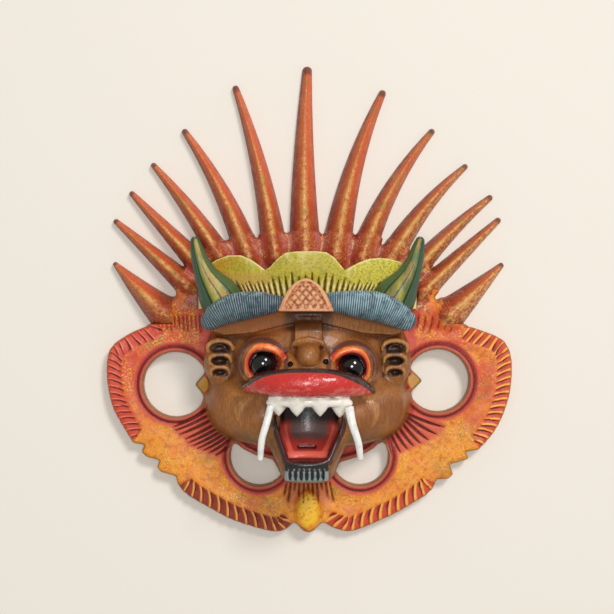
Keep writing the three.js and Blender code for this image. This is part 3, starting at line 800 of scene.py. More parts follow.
# %% [markdown]
# ## Teeth
# Four pointed teeth hang from a thick gum. Each is a spade with a domed front that narrows to its
# tip; a shape built from its half width is easier to fit beside its neighbours than a cone.

# %% Teeth
TEETH = [(-20.3, -83.2), (-7.4, -83.4), (8.8, -83.4), (22.6, -84.6)]
TOOTH_HALF = 7.4


def tooth_shape(x0, tip):
    def shape(x, y, z):
        t = np.clip((y - tip) / (-72 - tip), 0, 1)
        half = TOOTH_HALF * np.clip(1.2 * t ** 0.85, 0.02, 1) * (1 + 0.05 * np.sin(t * 6))
        s = (x - x0) / half
        front = 81.5 - 0.011 * x0 ** 2 + 4.6 * np.sqrt(np.clip(1 - s ** 2, 0,
                                                               1)) * np.sqrt(t + 0.1) - 2.5 * (1 - t) ** 2
        edge = np.maximum((np.abs(x - x0) - half) * 0.7, tip - y)
        return np.maximum(np.maximum(edge, z - front), np.maximum(y + 69, front - 8 - z))
    return shape


for x0, tip in TEETH:
    add((x0 - 9, tip - 3, 64), (x0 + 9, -66, 88), tooth_shape(x0, tip), "teeth", 0.3)
gum_line = [(-26.5, -73.5, 76.5), (-14, -73, 80), (0.5, -72.8, 81), (15, -73, 80), (29, -74, 76.5)]
add_bar(gum_line, [2.6, 3.6, 3.7, 3.6, 2.8], "teeth", 0.8, 8)
print(len(TEETH), "teeth")

# %% [markdown]
# ## Ears and leaf
# An ear is a low mound with three scooped hollows, each under a raised curl. The leaf below the
# chin is only a swelling in the collar, so it is blended in and keeps the collar's finish.

# %% Ears and leaf
EARS = [(-36.5, 1.15), (-45.5, 1.0), (-54, 0.85)]   # height up the head, size
EAR_OUT = 63.5        # sideways from the middle of the face
for side in (-1, 1):
    add_ball((side * 65, -46, 24), (11, 18, 17), "face", 4)
    for y, size in EARS:
        spot = (side * EAR_OUT, y, 42)
        cut(*ball_box(spot, np.array([7, 4, 8])), ellipsoid(spot, (6.4 * size, 3.3 * size, 8)), None, 1)
        arc = [(side * (EAR_OUT + 8 * size * math.cos(a)), y + 5 * size * math.sin(a), 38.5)
               for a in np.linspace(-0.4, 3.3, 6)]
        add_bar(arc, [1.3, 1.9, 2.1, 2.1, 1.9, 1.2], "face", 1.0, 8)
add_ball((0.5, -158, 12), (9.5, 15.5, 6), "collar", 3)
print(2 * len(EARS), "ear hollows and a leaf")

# %% [markdown]
# ## Hollow back
# A mask is hollowed behind the face, to make it light and to keep it from splitting as it dries.
# One egg-shaped cut does that; then everything below the flat back is planed away.

# %% Hollow back
cut(*ball_box((0, -50, -1), np.array([56, 47, 31])), ellipsoid((0, -50, -1), (56, 47, 31)), "back", 1.5)
below = region(grid_low, (400, 400, 0))[0]
field[below] = np.maximum(field[below], -axes[2][below[2]].astype(np.float32))
print("carving done,", int((field < 0).sum() * VOXEL ** 3 / 1000), "cubic centimetres of wood")

# %% [markdown]
# ## From voxels to a surface
# OpenVDB turns the zero level of the field into a closed mesh. It has more triangles than the
# carving needs, so the flat back and the plain wood are thinned with a Decimate modifier.

# %% Meshing
TRIANGLES = 185000
CHIP_GAP = 2e-6       # metres, points closer than this are one point
CHIP_FACES = 200      # a smaller island of faces is a chip, not part of the carving


def surface_mesh(name, values, low, size):
    grid = vdb.FloatGrid(FAR)
    grid.copyFromArray(values)
    grid.transform = vdb.createLinearTransform(voxelSize=size)
    points, triangles, quads = grid.convertToPolygons(isovalue=0.0, adaptivity=0.0)
    points = (points + low + np.array([SHIFT_X, 0, 0])) * MM
    points[:, 2] = np.maximum(points[:, 2], 0.0)
    corners = np.concatenate([quads.ravel(), triangles.ravel()]).astype(np.int32)
    sizes = np.concatenate([np.full(len(quads), 4), np.full(len(triangles), 3)]).astype(np.int32)
    mesh = bpy.data.meshes.new(name)
    mesh.vertices.add(len(points))
    mesh.vertices.foreach_set("co", points.astype(np.float32).ravel())
    mesh.loops.add(len(corners))
    mesh.loops.foreach_set("vertex_index", corners)
    mesh.polygons.add(len(sizes))
    mesh.polygons.foreach_set("loop_start", np.concatenate([[0], np.cumsum(sizes)[:-1]]).astype(np.int32))
    mesh.polygons.foreach_set("loop_total", sizes)
    mesh.update(calc_edges=True)
    mesh.validate()
    return mesh


def add_piece(name, mesh):
    piece = bpy.data.objects.new(name, mesh)
    bpy.context.scene.collection.objects.link(piece)
    return piece


def applied(piece):
    """The piece with its modifiers made part of its mesh."""
    graph = bpy.context.evaluated_depsgraph_get()
    mesh = bpy.data.meshes.new_from_object(piece.evaluated_get(graph))
    piece.modifiers.clear()
    piece.data = mesh


print("aim:", TRIANGLES, "triangles")

# %% Mesh the carving and thin it
rough = surface_mesh("carved_mask", field, grid_low, VOXEL)
print("meshed", len(rough.vertices), "points")
mask = add_piece("carved_mask", rough)
full = len(rough.loops) - 2 * len(rough.polygons)
thin = mask.modifiers.new("thin", "DECIMATE")
thin.ratio = TRIANGLES / full
applied(mask)
print("kept", len(mask.data.polygons), "triangles of", full)

# %% [markdown]
# Thinning can leave a few faces that touch the rest at a corner or fold back on it. Like chips
# on real carving they are brushed off: faces are gathered into islands across the edges that
# two faces share, and the small islands are deleted.

# %% Brush off the chips
chips = bmesh.new()
chips.from_mesh(mask.data)
bmesh.ops.remove_doubles(chips, verts=chips.verts[:], dist=CHIP_GAP)
bmesh.ops.dissolve_degenerate(chips, dist=CHIP_GAP, edges=chips.edges[:])
seen, loose = set(), []
for first in chips.faces:
    if first in seen:
        continue
    island, front = {first}, [first]
    while front:
        for edge in front.pop().edges:
            for face in edge.link_faces if len(edge.link_faces) == 2 else ():
                if face not in island:
                    island.add(face)
                    front.append(face)
    seen |= island
    if len(island) < CHIP_FACES:
        loose += island
bmesh.ops.delete(chips, geom=loose, context="FACES")
bmesh.ops.triangulate(chips, faces=[face for face in chips.faces if len(face.verts) > 3])
chips.to_mesh(mask.data)
chips.free()
print("brushed off", len(loose), "loose faces;", len(mask.data.polygons), "left")

# %% [markdown]
# ## Where the paint goes
# A painter follows the carving: gold is dragged over the crests and each file of cuts gets its own strokes,
# and shade is painted into the cuts. So each point of the mesh is told how deep it lies in a cut, how far
# along and across its ray, horn or roll it is, and how far from each edge. The materials later read these
# numbers as attributes.

# %% Helpers for points of the mesh
def mesh_places(mesh):
    places = np.empty(len(mesh.vertices) * 3, dtype=np.float32)
    mesh.vertices.foreach_get("co", places)
    return places.reshape(-1, 3) / MM - np.array([SHIFT_X, 0, 0])


def face_middles(mesh):
    corners = np.empty(len(mesh.polygons) * 3, dtype=np.float32)
    mesh.polygons.foreach_get("center", corners)
    return corners.reshape(-1, 3) / MM - np.array([SHIFT_X, 0, 0])


def sampled(values, places):
    """Values of a plan map or of a volume at the given places, blended between its cells."""
    dims = values.ndim
    spot = (places[:, :dims] - grid_low[:dims]) / VOXEL
    cell = np.clip(np.floor(spot).astype(int), 0, np.array(values.shape) - 2)
    part = np.clip(spot - cell, 0, 1)
    total = np.zeros(len(places))
    for corner in range(2 ** dims):
        bits = [(corner >> k) & 1 for k in range(dims)]
        share = np.prod([part[:, k] if bits[k] else 1 - part[:, k] for k in range(dims)], axis=0)
        total += share * values[tuple(cell[:, k] + bits[k] for k in range(dims))]
    return total


def tell(name, values):
    layer = mask.data.attributes.new(name, "FLOAT", "POINT")
    layer.data.foreach_set("value", np.asarray(values, dtype=np.float32))


print("painting on", len(mask.data.vertices), "points")

# %% [markdown]
# Cuts and crests come from the field itself: it is averaged over a small cube round each point,
# and wood on all sides of a point means that it lies in a cut.

# %% Cuts and hollows
def averaged(values, reach):
    for axis in range(3):
        total = np.cumsum(np.concatenate([values.take([0] * (reach + 1), axis), values,
                                          values.take([-1] * reach, axis)], axis), axis=axis,
                                          dtype=np.float32)
        width = 2 * reach + 1
        count = values.shape[axis]
        values = (total.take(range(width, width + count), axis) - total.take(range(count), axis)) / width
    return values


near = np.clip(field, -4, 4)
places = mesh_places(mask.data)
px, py = places.T[:2]
# groove and hollow are used below to paint shade into the cuts and hollows
groove = -sampled(averaged(near, 2), places)
hollow = -sampled(averaged(averaged(near, 5), 4), places)
tell("groove", groove)
tell("hollow", hollow)
tell("place_x", px)
tell("place_y", py)
print("cuts from", groove.min().round(2), "to", groove.max().round(2))

# %% [markdown]
# The collar's own maps are read off at each point. `face_share` is the head's shadow on the map,
# blurred wide, because the painter let the red run out from the head. The touches are soft
# round places where more red, gold or olive was laid on by hand.

# %% Collar attributes
FACE_BLUR = 60        # rounds of blurring
top_of = np.argmax((field < 0)[:, :, ::-1], axis=2)
solid_here = (field < 0).any(axis=2)
top_paint = np.take_along_axis(paint, (field.shape[2] - 1 - top_of)[..., None], axis=2)[..., 0]
is_head = solid_here & (top_paint >= CODE["crown"])
face_share = blurred(is_head.astype(float), FACE_BLUR)
for name, values in {"rim_phase": rim_phase, "rim_window": rim_window, "rim_in": rim_in, "hole_in": hole_in,
                     "fan": fan_depth, "fan_zone": fan_zone, "tongue": tongue, "beard": beard,
                     "face_share": face_share}.items():
    tell(name, sampled(values, places))

print("collar maps told")

# %% Touches of other colours
TOUCHES = {  # x, y, reach, strength
    "red": [(-128, -52, 20, 0.9), (-134, -80, 20, 0.6), (-85, -22, 20, 1.0), (-104, -20, 22, 0.6),
            (-120, -26, 20, 0.5),
            (88, -20, 16, 0.9), (110, -28, 22, 0.7), (130, -60, 22, 0.7), (128, -90, 22, 0.5),
            (-60, -120, 12, 0.5),
            (104, -110, 14, 0.4)],
    "gold": [(-105, -118, 26, 0.8), (-70, -138, 24, 0.9), (0, -150, 30, 1.0), (-20, -158, 16, 0.8),
             (60, -140, 30, 0.8),
             (104, -112, 24, 0.7), (-135, -106, 14, 0.6), (-92, -96, 8, 0.5), (0, -165, 14, 1.0)],
    "olive": [(-114, -30, 9, 0.6), (-75, -120, 9, 0.55), (-90, -96, 9, 0.7), (20, -141, 10, 0.6),
              (128, -68, 9, 0.6),
              (-118, -33, 9, 0.4), (100, -126, 10, 0.5), (-30, -150, 14, 0.4), (118, -100, 8, 0.5),
              (-50, -146, 12, 0.4)],
}
for name, spots in TOUCHES.items():
    total = np.zeros(len(places))
    for x, y, reach, strength in spots:
        total = np.maximum(total, strength * np.exp(-((px - x) ** 2 + (py - y) ** 2) / reach ** 2))
    tell("touch_" + name, total)
print("touches:", {name: len(spots) for name, spots in TOUCHES.items()})

# %% [markdown]
# Gold is dragged along a ray's crest, the sides are painted dark as shade and one flank bright as a
# highlight, and the rays differ a little from left to right. So each point learns which ray it is on, and
# its place along and across it.

# %% Ray attributes
ray_across = np.zeros(len(places))
ray_along = np.zeros(len(places))
ray_number = np.zeros(len(places))
best = np.full(len(places), 1e9)
for number, ray in enumerate(RAYS):
    t, across, beyond, half, _ = ray_place(ray, px, py)
    off = np.hypot(across, beyond) / half
    nearer = off < best
    best = np.where(nearer, off, best)
    ray_across = np.where(nearer, across / half, ray_across)
    ray_along = np.where(nearer, t, ray_along)
    ray_number = np.where(nearer, number / (len(RAYS) - 1), ray_number)
for name, values in {"ray_across": ray_across, "ray_along": ray_along, "ray_number": ray_number}.items():
    tell(name, values)
print("rays told")

# %% [markdown]
# The roll is combed across its length and the horns carry lines along theirs, so both need the
# length along a curve and the side of it. The same helper gives the distance to the lip's line.

# %% Head-dress and eye attributes
def along_line(line, x, y, count=60):
    """Length along a line and signed distance from it, seen from the front."""
    dots = curve_points(line, count)[:, :2]
    lengths = np.concatenate([[0], np.cumsum(np.hypot(*np.diff(dots, axis=0).T))])
    best, length, side = np.full(len(x), 1e9), np.zeros(len(x)), np.zeros(len(x))
    for k in range(count - 1):
        a, run = dots[k], dots[k + 1] - dots[k]
        t = np.clip(((x - a[0]) * run[0] + (y - a[1]) * run[1]) / (run @ run), 0, 1)
        dx, dy = x - a[0] - t * run[0], y - a[1] - t * run[1]
        away = np.hypot(dx, dy)
        nearer = away < best
        best = np.where(nearer, away, best)
        length = np.where(nearer, lengths[k] + t * (lengths[k + 1] - lengths[k]), length)
        side = np.where(nearer, np.sign(dx * run[1] - dy * run[0]) * away, side)
    return length, side, lengths[-1]


roll_whole = [(-74, -18), *[dot[:2] for dot in left_roll], *[dot[:2] for dot in right_roll[::-1]],
              (76, -18)]
roll_length, roll_side, _ = along_line([(x, y, 0) for x, y in roll_whole], px, py, 120)
tell("roll_length", roll_length)
tell("roll_side", roll_side)
horn_along, horn_across = np.zeros(len(places)), np.zeros(len(places))
for side in (-1, 1):
    length, off, whole = along_line([(side * x, y, z) for x, y, z in HORN], px, py)
    radius = np.interp(length / whole, np.linspace(0, 1, len(HORN_RADII)), HORN_RADII)
    here = px * side > 0
    horn_along = np.where(here, length / whole, horn_along)
    horn_across = np.where(here, -side * off / radius, horn_across)
tell("horn_along", horn_along)
tell("horn_across", horn_across)
eye_off = np.min([np.hypot(px - ex, py - ey) for ex, ey, _ in EYES.values()], axis=0)
tell("eye_off", eye_off)
_, lip_off, _ = along_line([(x, y, 0) for x, y in LIP_LINE], px, py)
tell("lip_off", lip_off)
ear_cut = np.min([np.hypot((np.abs(px) - EAR_OUT) / (6.6 * size), (py - y) / (3.6 * size)) for y,
                  size in EARS], axis=0)
tell("ear_cut", ear_cut)
tell("lattice", jewel_lattice(px, py))
tell("leaf", np.hypot((px - 0.5) / 9.5, (py + 157) / 16))
tell("mouth_in", mouth_side(px, py))
tell("flute", crown_flutes(px, py))
print("attributes:", len(mask.data.attributes))

# %% [markdown]
# Each face takes the finish of the voxel at its middle. The flat back and the hollow are bare.

# %% Finish of each face
BACK_SKIN = 0.4       # faces lower than this lie on the flat back
middles = face_middles(mask.data)
cells = np.clip(np.round((middles - grid_low) / VOXEL).astype(int), 0, grid_shape - 1)
finish = paint[tuple(cells.T)]
finish = np.where(middles[:, 2] < BACK_SKIN, CODE["back"], finish)
print("faces of each finish:", {name: int((finish == CODE[name]).sum()) for name in FINISHES})

# %% [markdown]
# ## Paint and stain
# Every finish on the mask is thin paint or stain on carved wood, so all of them are built the
# same way: a ground colour, then layers, each laid where its patterns allow, as a painter lays
# them. A pattern is an attribute or a noise whose grain is given in millimetres, faded in
# between two limits; a layer's patterns are multiplied. The same patterns raise or sink the
# surface a little, for brush marks and wood grain that are too fine for the mesh.

# %% Colours and nodes
def to_linear(value):
    rgb = [int(value[i:i + 2], 16) / 255 for i in (1, 3, 5)]
    return [c / 12.92 if c <= 0.04045 else ((c + 0.055) / 1.055) ** 2.4 for c in rgb] + [1.0]


def add_node(tree, kind, settings, inputs):
    """Add a node with its settings; an input is a value or another node's output socket."""
    made = tree.nodes.new(kind)
    for name, value in settings.items():
        setattr(made, name, value)
    for name, value in inputs.items():
        if isinstance(value, bpy.types.NodeSocket):
            tree.links.new(value, made.inputs[name])
        else:
            made.inputs[name].default_value = value
    return made


print("a mid grey in linear light:", [round(c, 3) for c in to_linear("#808080")])


# %% Patterns
def pattern(tree, source, low, high, grain=1.0, stretch=(1, 1, 1)):
    """A socket from 0 at low to 1 at high; grain is the pattern's size or repeat in mm."""
    if source == "noise":
        spot = add_node(tree, "ShaderNodeTexCoord", {}, {}).outputs["Object"]
        shrink = [1 / (grain * MM * s) for s in stretch]
        spot = add_node(tree, "ShaderNodeMapping", {}, {"Vector": spot, "Scale": shrink}).outputs["Vector"]
        value = add_node(tree, "ShaderNodeTexNoise", {},
                         {"Vector": spot, "Scale": 1.0, "Detail": 3.0}).outputs["Fac"]
    elif source.endswith("~"):
        value = add_node(tree, "ShaderNodeAttribute", {"attribute_name": source[:-1]}, {}).outputs["Fac"]
        value = add_node(tree, "ShaderNodeMath", {"operation": "DIVIDE"}, {0: value, 1: grain}).outputs[0]
        value = add_node(tree, "ShaderNodeMath", {"operation": "FRACT"}, {0: value}).outputs[0]
    else:
        value = add_node(tree, "ShaderNodeAttribute", {"attribute_name": source}, {}).outputs["Fac"]
    limits = {"Value": value, "From Min": low, "From Max": high}
    if low > high:
        limits.update({"From Min": high, "From Max": low, "To Min": 1.0, "To Max": 0.0})
    return add_node(tree, "ShaderNodeMapRange", {"interpolation_type": "SMOOTHSTEP"},
                    limits).outputs["Result"]


def multiplied(tree, patterns, strength=1.0):
    value = None
    for each in patterns:
        socket = pattern(tree, *each)
        value = socket if value is None else add_node(
            tree, "ShaderNodeMath", {"operation": "MULTIPLY"}, {0: value, 1: socket}).outputs[0]
    return add_node(tree, "ShaderNodeMath", {"operation": "MULTIPLY"}, {0: value, 1: strength}).outputs[0]


print("patterns are attributes or noise")


# %% A painted finish
PAINT_IOR = 1.5       # dried paint, stain and varnish are all close to this


def painted(name, ground, layers, relief, rough=(0.35, 0.5), coat=0.0):
    """A material from a ground colour, colour layers, relief layers in mm and two roughnesses."""
    material = bpy.data.materials.new(name)
    material.use_nodes = True
    tree = material.node_tree
    shader = tree.nodes["Principled BSDF"]
    colour = to_linear(ground)
    for value, strength, *patterns in layers:
        share = multiplied(tree, patterns, strength)
        colour = add_node(tree, "ShaderNodeMix", {"data_type": "RGBA"},
                          {0: share, 6: colour, 7: to_linear(value)}).outputs[2]
    if isinstance(colour, bpy.types.NodeSocket):
        tree.links.new(colour, shader.inputs["Base Color"])
    height = None
    for high, *patterns in relief:
        part = multiplied(tree, patterns, high)
        height = part if height is None else add_node(
            tree, "ShaderNodeMath", {"operation": "ADD"}, {0: height, 1: part}).outputs[0]
    if height is not None:
        bump = add_node(tree, "ShaderNodeBump", {}, {"Height": height, "Distance": MM, "Strength": 1.0})
        tree.links.new(bump.outputs["Normal"], shader.inputs["Normal"])
    gloss = pattern(tree, "noise", 0.35, 0.65, 5.0)
    gloss = add_node(tree, "ShaderNodeMapRange", {},
                     {"Value": gloss, "To Min": rough[0], "To Max": rough[1]})
    tree.links.new(gloss.outputs["Result"], shader.inputs["Roughness"])
    shader.inputs["IOR"].default_value = PAINT_IOR
    shader.inputs["Coat Weight"].default_value = coat
    shader.inputs["Coat Roughness"].default_value = 0.12
    return material


print("a finish has IOR", PAINT_IOR)

# %% [markdown]
# Four patterns come back in many finishes, and their sizes are real ones: wood grain has streaks
# of about 0.3 mm, too fine to show, and is drawn 0.9 mm wide; bristles leave marks about 1.6 mm
# apart; a stipple brush leaves dabs of 1.3 mm, and flicked specks are 0.8 mm.

# %% Shared patterns
GRAIN = ("noise", 0.35, 0.65, 0.9, (1, 9, 1))
BRUSH = ("noise", 0.3, 0.7, 1.6, (1, 1, 1))
STIPPLE = ("noise", 0.53, 0.6, 1.3, (1, 1, 1))
SPECKS = ("noise", 0.56, 0.62, 0.8, (1, 1, 1))
materials = {}
print("patterns:", GRAIN[3], BRUSH[3], STIPPLE[3], SPECKS[3], "mm")

# %% [markdown]
# ## Collar and rays
# Both are thin water-based paint, laid on in broken layers and sealed with a little varnish: the
# brush skips over the wood, so every colour is mottled by the one below it. An even coat with one
# noise would look like plastic, so each colour is a layer of its own with its own patterns.

# %% Collar paint
# Thin orange paint over wood, dabbed and stippled. The eye sees satin orange broken by red, gold and olive,
# every cut painted dark as shade, and pale crests where the brush was dragged.
materials["collar"] = painted("orange_collar_paint", "#DE7C1C", [
    ("#D4552A", 0.7, ("noise", 0.45, 0.62, 26.0)),
    ("#EE941C", 0.6, ("place_x", 20, 90), ("noise", 0.3, 0.5, 14.0)),
    ("#D2442A", 0.9, ("touch_red", 0.15, 0.7), ("noise", 0.2, 0.5, 7.0)),
    ("#E5901A", 0.85, ("touch_gold", 0.1, 0.6), ("noise", 0.25, 0.5, 9.0)),
    ("#746A28", 0.75, ("touch_olive", 0.1, 0.6), ("noise", 0.35, 0.6, 6.0)),
    ("#B9521E", 0.5, ("noise", 0.5, 0.62, 4.0)),
    ("#E6B93C", 0.7, STIPPLE, ("noise", 0.42, 0.58, 18.0)),
    ("#7E5A1C", 0.6, SPECKS, ("noise", 0.4, 0.58, 13.0)),
    ("#A8481C", 0.7, ("place_y", -132, -136), ("place_y", -160, -146), ("place_x", 20, 14),
     ("place_x", -20, -14)),
    ("#F0C430", 0.8, ("leaf", 1.0, 0.6), ("noise", 0.35, 0.5, 2.5)),
    ("#C4463C", 0.85, ("hole_in", 8.6, 6.6)),
    ("#BE3C36", 0.85, ("face_share", 0.05, 0.18)),
    ("#C84E40", 0.85, ("fan_zone", 0.25, 0.8), ("noise", 0.2, 0.42, 5.0)),
    ("#5E1614", 0.95, ("fan", 0.15, 0.5)),
    ("#66201A", 0.8, ("beard", 0.25, 0.6)),
    ("#C53C2C", 0.9, ("rim_window", 0.2, 0.6)),
    ("#84301E", 0.8, ("rim_window", 0.2, 0.6), ("place_y", -118, -132), ("place_x", 6, -6)),
    ("#E57C60", 0.85, ("rim_window", 0.2, 0.6), ("rim_phase~", 0.76, 0.9), ("place_x", 6, -6),
     ("place_y", -125, -112)),
    ("#F2B140", 0.9, ("rim_window", 0.2, 0.6), ("rim_phase~", 0.6, 0.85), ("place_x", -6, 6)),
    ("#E2A244", 0.9, ("rim_window", 0.2, 0.6), ("rim_phase~", 0.68, 0.88), ("place_y", -115, -128)),
    ("#741A16", 0.9, ("rim_window", 0.2, 0.6), ("rim_phase~", 0.0, 0.08), ("rim_phase~", 0.45, 0.15),
     ("rim_in", 1, 8)),
    ("#B04A40", 0.7, ("hole_in", 3.4, 2.6)),
    ("#7A1F1C", 0.9, ("hole_in", 5.4, 4.6), ("hole_in", 2.6, 3.3)),
    ("#9A6434", 0.9, ("hole_in", 1.5, 1.0)),
    # painted shade: dark in the cuts
    ("#5A1E18", 0.7, ("groove", 0.25, 0.6)),
    ("#8A5A24", 0.55, ("rim_in", 1.4, 0.7)),
    ("#B8862A", 0.95, ("tongue", 0.3, 0.7)),
    ("#6E5A20", 0.8, ("tongue", 0.3, 0.7), ("hole_in", 1.6, 0.6)),
], [(0.10, BRUSH), (0.06, ("noise", 0.3, 0.7, 0.7))], (0.38, 0.6))
print("mixed", materials["collar"].name)

# %% Ray paint
# Terracotta paint with gold dragged along the crests, where it catches the light. Light and shade are also
# painted on: the right flank is painted bright orange as a highlight, and the left flank and the right edge
# are painted dark red as shade, which makes the rays look rounder.
materials["rays"] = painted("terracotta_ray_paint", "#AE4C28", [
    ("#C86432", 0.7, ("ray_along", 0.25, 0.8)),
    # painted highlight on the right flank; painted shade on the left flank and the right edge
    ("#D8562C", 0.7, ("ray_across", 0.05, 0.4), ("ray_along", 0.1, 0.45), ("ray_number", 0.75, 0.6)),
    ("#7E2C1E", 0.85, ("ray_across", -0.4, -0.8)),
    ("#8E2E1E", 0.6, ("ray_across", 0.65, 0.95)),
    ("#D69C50", 0.8, ("ray_across", -0.45, -0.05), ("ray_across", 0.45, 0.15), ("ray_along", 0.75, 0.25),
     ("noise", 0.3, 0.55, 3.0)),
    ("#E8C07C", 0.7, ("ray_across", -0.15, 0.05), ("ray_across", 0.35, 0.12), ("ray_along", 0.9, 0.3),
     STIPPLE),
    ("#DDB066", 0.75, ("ray_number", 0.6, 0.8), ("ray_across", -0.3, 0.1), ("noise", 0.45, 0.58, 2.4)),
    ("#7C7A2A", 0.55, ("ray_across", -0.5, 0.0), ("ray_across", 0.4, 0.1), ("noise", 0.55, 0.68, 9.0)),
    ("#96281E", 0.7, ("ray_along", 0.3, 0.0), ("noise", 0.4, 0.55, 4.0)),
    ("#E0B060", 0.5, SPECKS, ("noise", 0.4, 0.6, 12.0)),
    ("#5E2A1E", 0.8, ("ray_along", 0.965, 0.99)),
    # painted shade: dark in the valleys between the ray feet
    ("#561A14", 0.85, ("ray_across", 0.95, 1.25), ("place_y", 8, 16)),
    ("#561A14", 0.85, ("ray_across", -0.95, -1.25), ("place_y", 8, 16)),
    # painted shade: dark in the cuts and hollows
    ("#4A1812", 0.75, ("groove", 0.2, 0.6)),
    ("#5A1C14", 0.6, ("hollow", 0.5, 1.6)),
], [(0.12, BRUSH), (0.08, GRAIN)], (0.32, 0.55))
print("mixed", materials["rays"].name)

# %% [markdown]
# ## Head-dress
# The crown, horns, roll and jewel are painted with the same brush but more wetly, so they are a
# little smoother. What tells them apart is the drawing on them: stipple, long lines, combing and
# a rubbed lattice.

# %% Crown paint
# Gold-green paint stippled with olive. The flutes are painted dark brown as shade, which makes them look
# deep, the other cuts are painted dark as shade too, and the raised edges such as the upper one are painted
# pale as a highlight.
materials["crown"] = painted("gold_green_crown_paint", "#B7A824", [
    ("#D8CA52", 0.75, ("place_x", 5, 50)),
    ("#D0802C", 0.75, ("place_x", -40, -60), ("noise", 0.3, 0.6, 8.0)),
    ("#8E8C22", 0.65, STIPPLE),
    ("#748030", 0.45, ("noise", 0.5, 0.6, 2.0)),
    ("#C89A50", 0.6, ("place_y", 22, 14), ("place_x", -18, -36)),
    # painted shade in the flutes, painted highlight on the raised edges, painted shade in the cuts
    ("#5A3A14", 0.92, ("flute", 0.2, 0.55)),
    ("#EBDD98", 0.8, ("groove", -0.25, -0.5)),
    ("#4A3212", 0.6, ("groove", 0.2, 0.6)),
], [(0.08, BRUSH)], (0.35, 0.5))
print("mixed", materials["crown"].name)

# %% Horn paint
# Dark green paint blended wet into yellow along the front, with thin dark lines drawn along the
# horn, so that it reads as ribbed and glossy.
materials["horns"] = painted("green_horn_paint", "#475F36", [
    ("#2F5148", 0.75, ("horn_across", -0.35, -0.75)),
    ("#2C4436", 0.6, ("horn_along", 0.8, 1.0)),
    ("#B4A636", 0.75, ("horn_across", -0.5, -0.1), ("horn_across", 0.75, 0.35),
     ("noise", 0.3, 0.65, 9.0, (1, 3, 1))),
    ("#C07A30", 0.6, ("horn_across", -0.2, 0.1), ("horn_across", 0.5, 0.3),
     ("noise", 0.45, 0.6, 7.0, (1, 2.5, 1))),
    ("#141E12", 0.9, ("horn_across", -0.5, -0.44), ("horn_across", -0.34, -0.4)),
    ("#1C2A18", 0.85, ("horn_across", 0.0, 0.05), ("horn_across", 0.15, 0.1), ("horn_along", 0.75, 0.6)),
    ("#1C2A18", 0.85, ("horn_across", 0.5, 0.54), ("horn_across", 0.64, 0.59)),
    # painted shade: dark in the cuts
    ("#16261A", 0.7, ("groove", 0.2, 0.55)),
], [(0.1, BRUSH)], (0.3, 0.45))
print("mixed", materials["horns"].name)

# %% Roll paint
# Slate-blue paint combed across at 1.6 mm, so that dark ground shows between pale threads and the roll looks
# like bound hair. The combing also sinks the surface a little. The top edge is painted pale as a highlight
# and the cuts are painted dark as shade.
COMB = 1.6
materials["roll"] = painted("slate_blue_roll_paint", "#3A5260", [
    ("#7EA6B4", 0.85, ("place_x", -5, 40), ("noise", 0.3, 0.6, 6.0)),
    ("#5E7A84", 0.6, ("place_x", -35, -60)),
    ("#1E2C34", 0.8, ("roll_length~", 0.0, 0.3, COMB), ("roll_length~", 0.62, 0.35, COMB),
     ("noise", 0.3, 0.5, 6.0)),
    ("#C4CFD0", 0.6, ("roll_length~", 0.7, 0.85, COMB), ("roll_length~", 1.0, 0.92, COMB),
     ("noise", 0.38, 0.55, 5.0)),
    # painted highlight along the top edge
    ("#A9C6CE", 0.5, ("roll_side", -5, -8), ("noise", 0.4, 0.6, 3.0)),
    # painted shade: dark in the cuts
    ("#1C262C", 0.6, ("groove", 0.2, 0.55)),
], [(-0.35, ("roll_length~", 0.0, 0.3, COMB), ("roll_length~", 0.62, 0.35, COMB))], (0.4, 0.6))
print("mixed", materials["roll"].name)

# %% Jewel stain
# Copper-coloured stain wiped off the lozenges; it stays dark in the lattice cuts.
materials["jewel"] = painted("copper_jewel_stain", "#BC7444", [
    ("#983E28", 0.7, ("place_y", -1, -7)),
    ("#743420", 0.9, ("lattice", 0.2, 0.6)),
    ("#D99C68", 0.6, ("noise", 0.45, 0.6, 2.5)),
    ("#E2B080", 0.5, ("groove", -0.05, -0.3)),
], [(0.12, BRUSH)], (0.35, 0.5))
print("mixed", materials["jewel"].name)

# %% [markdown]
# ## Face and eyes
# The face is stained, not painted: the grain shows through and edges rub pale, while its hollows are painted
# dark as shade. The lids and eyes are enamel, which flows out smooth and shines.

# %% Face stain
# Light wood under brown stain and thin wax: streaks of grain, soft gloss, and pale edges where hands and
# cloth have rubbed it. Light and shade are painted on too: the cuts, the hollows, the ear hollows and the
# top of the nose bridge under the brow are painted dark as shade, and the left of the cove orange as light
# falling on it.
materials["face"] = painted("brown_stained_wood", "#A66A30", [
    ("#7E4620", 0.6, ("noise", 0.48, 0.62, 20.0, (1, 1.6, 1))),
    ("#C48A48", 0.6, ("groove", -0.1, -0.45)),
    ("#6E3C1A", 0.5, GRAIN),
    # painted shade: darker in the hollows
    ("#5C2E12", 0.7, ("hollow", 0.1, 0.8)),
    # painted light: orange on the left of the cove, where light falls
    ("#A8602A", 0.6, ("place_y", -28, -24), ("place_x", -5, -14)),
    # painted shade: dark at the top of the nose bridge, under the brow
    ("#3A1C0C", 0.8, ("place_y", -26, -22), ("place_x", -20, -13), ("place_x", 21, 14)),
    ("#4A2430", 0.75, ("eye_off", 14.8, 15.6), ("eye_off", 19.5, 18), ("place_y", -58, -50)),
    # painted shade: dark in the ear hollows
    ("#240F08", 0.9, ("ear_cut", 1.25, 0.85)),
    ("#2E1210", 0.9, ("mouth_in", -3.8, -2.6), ("place_y", -82, -92)),
    ("#5E5426", 0.55, ("place_y", -92, -104), ("noise", 0.3, 0.6, 7.0), ("mouth_in", -4, -6)),
    # painted shade: dark in the cuts
    ("#2E1408", 0.85, ("groove", 0.3, 0.8)),
], [(0.12, GRAIN)], (0.34, 0.5), 0.1)
print("mixed", materials["face"].name)

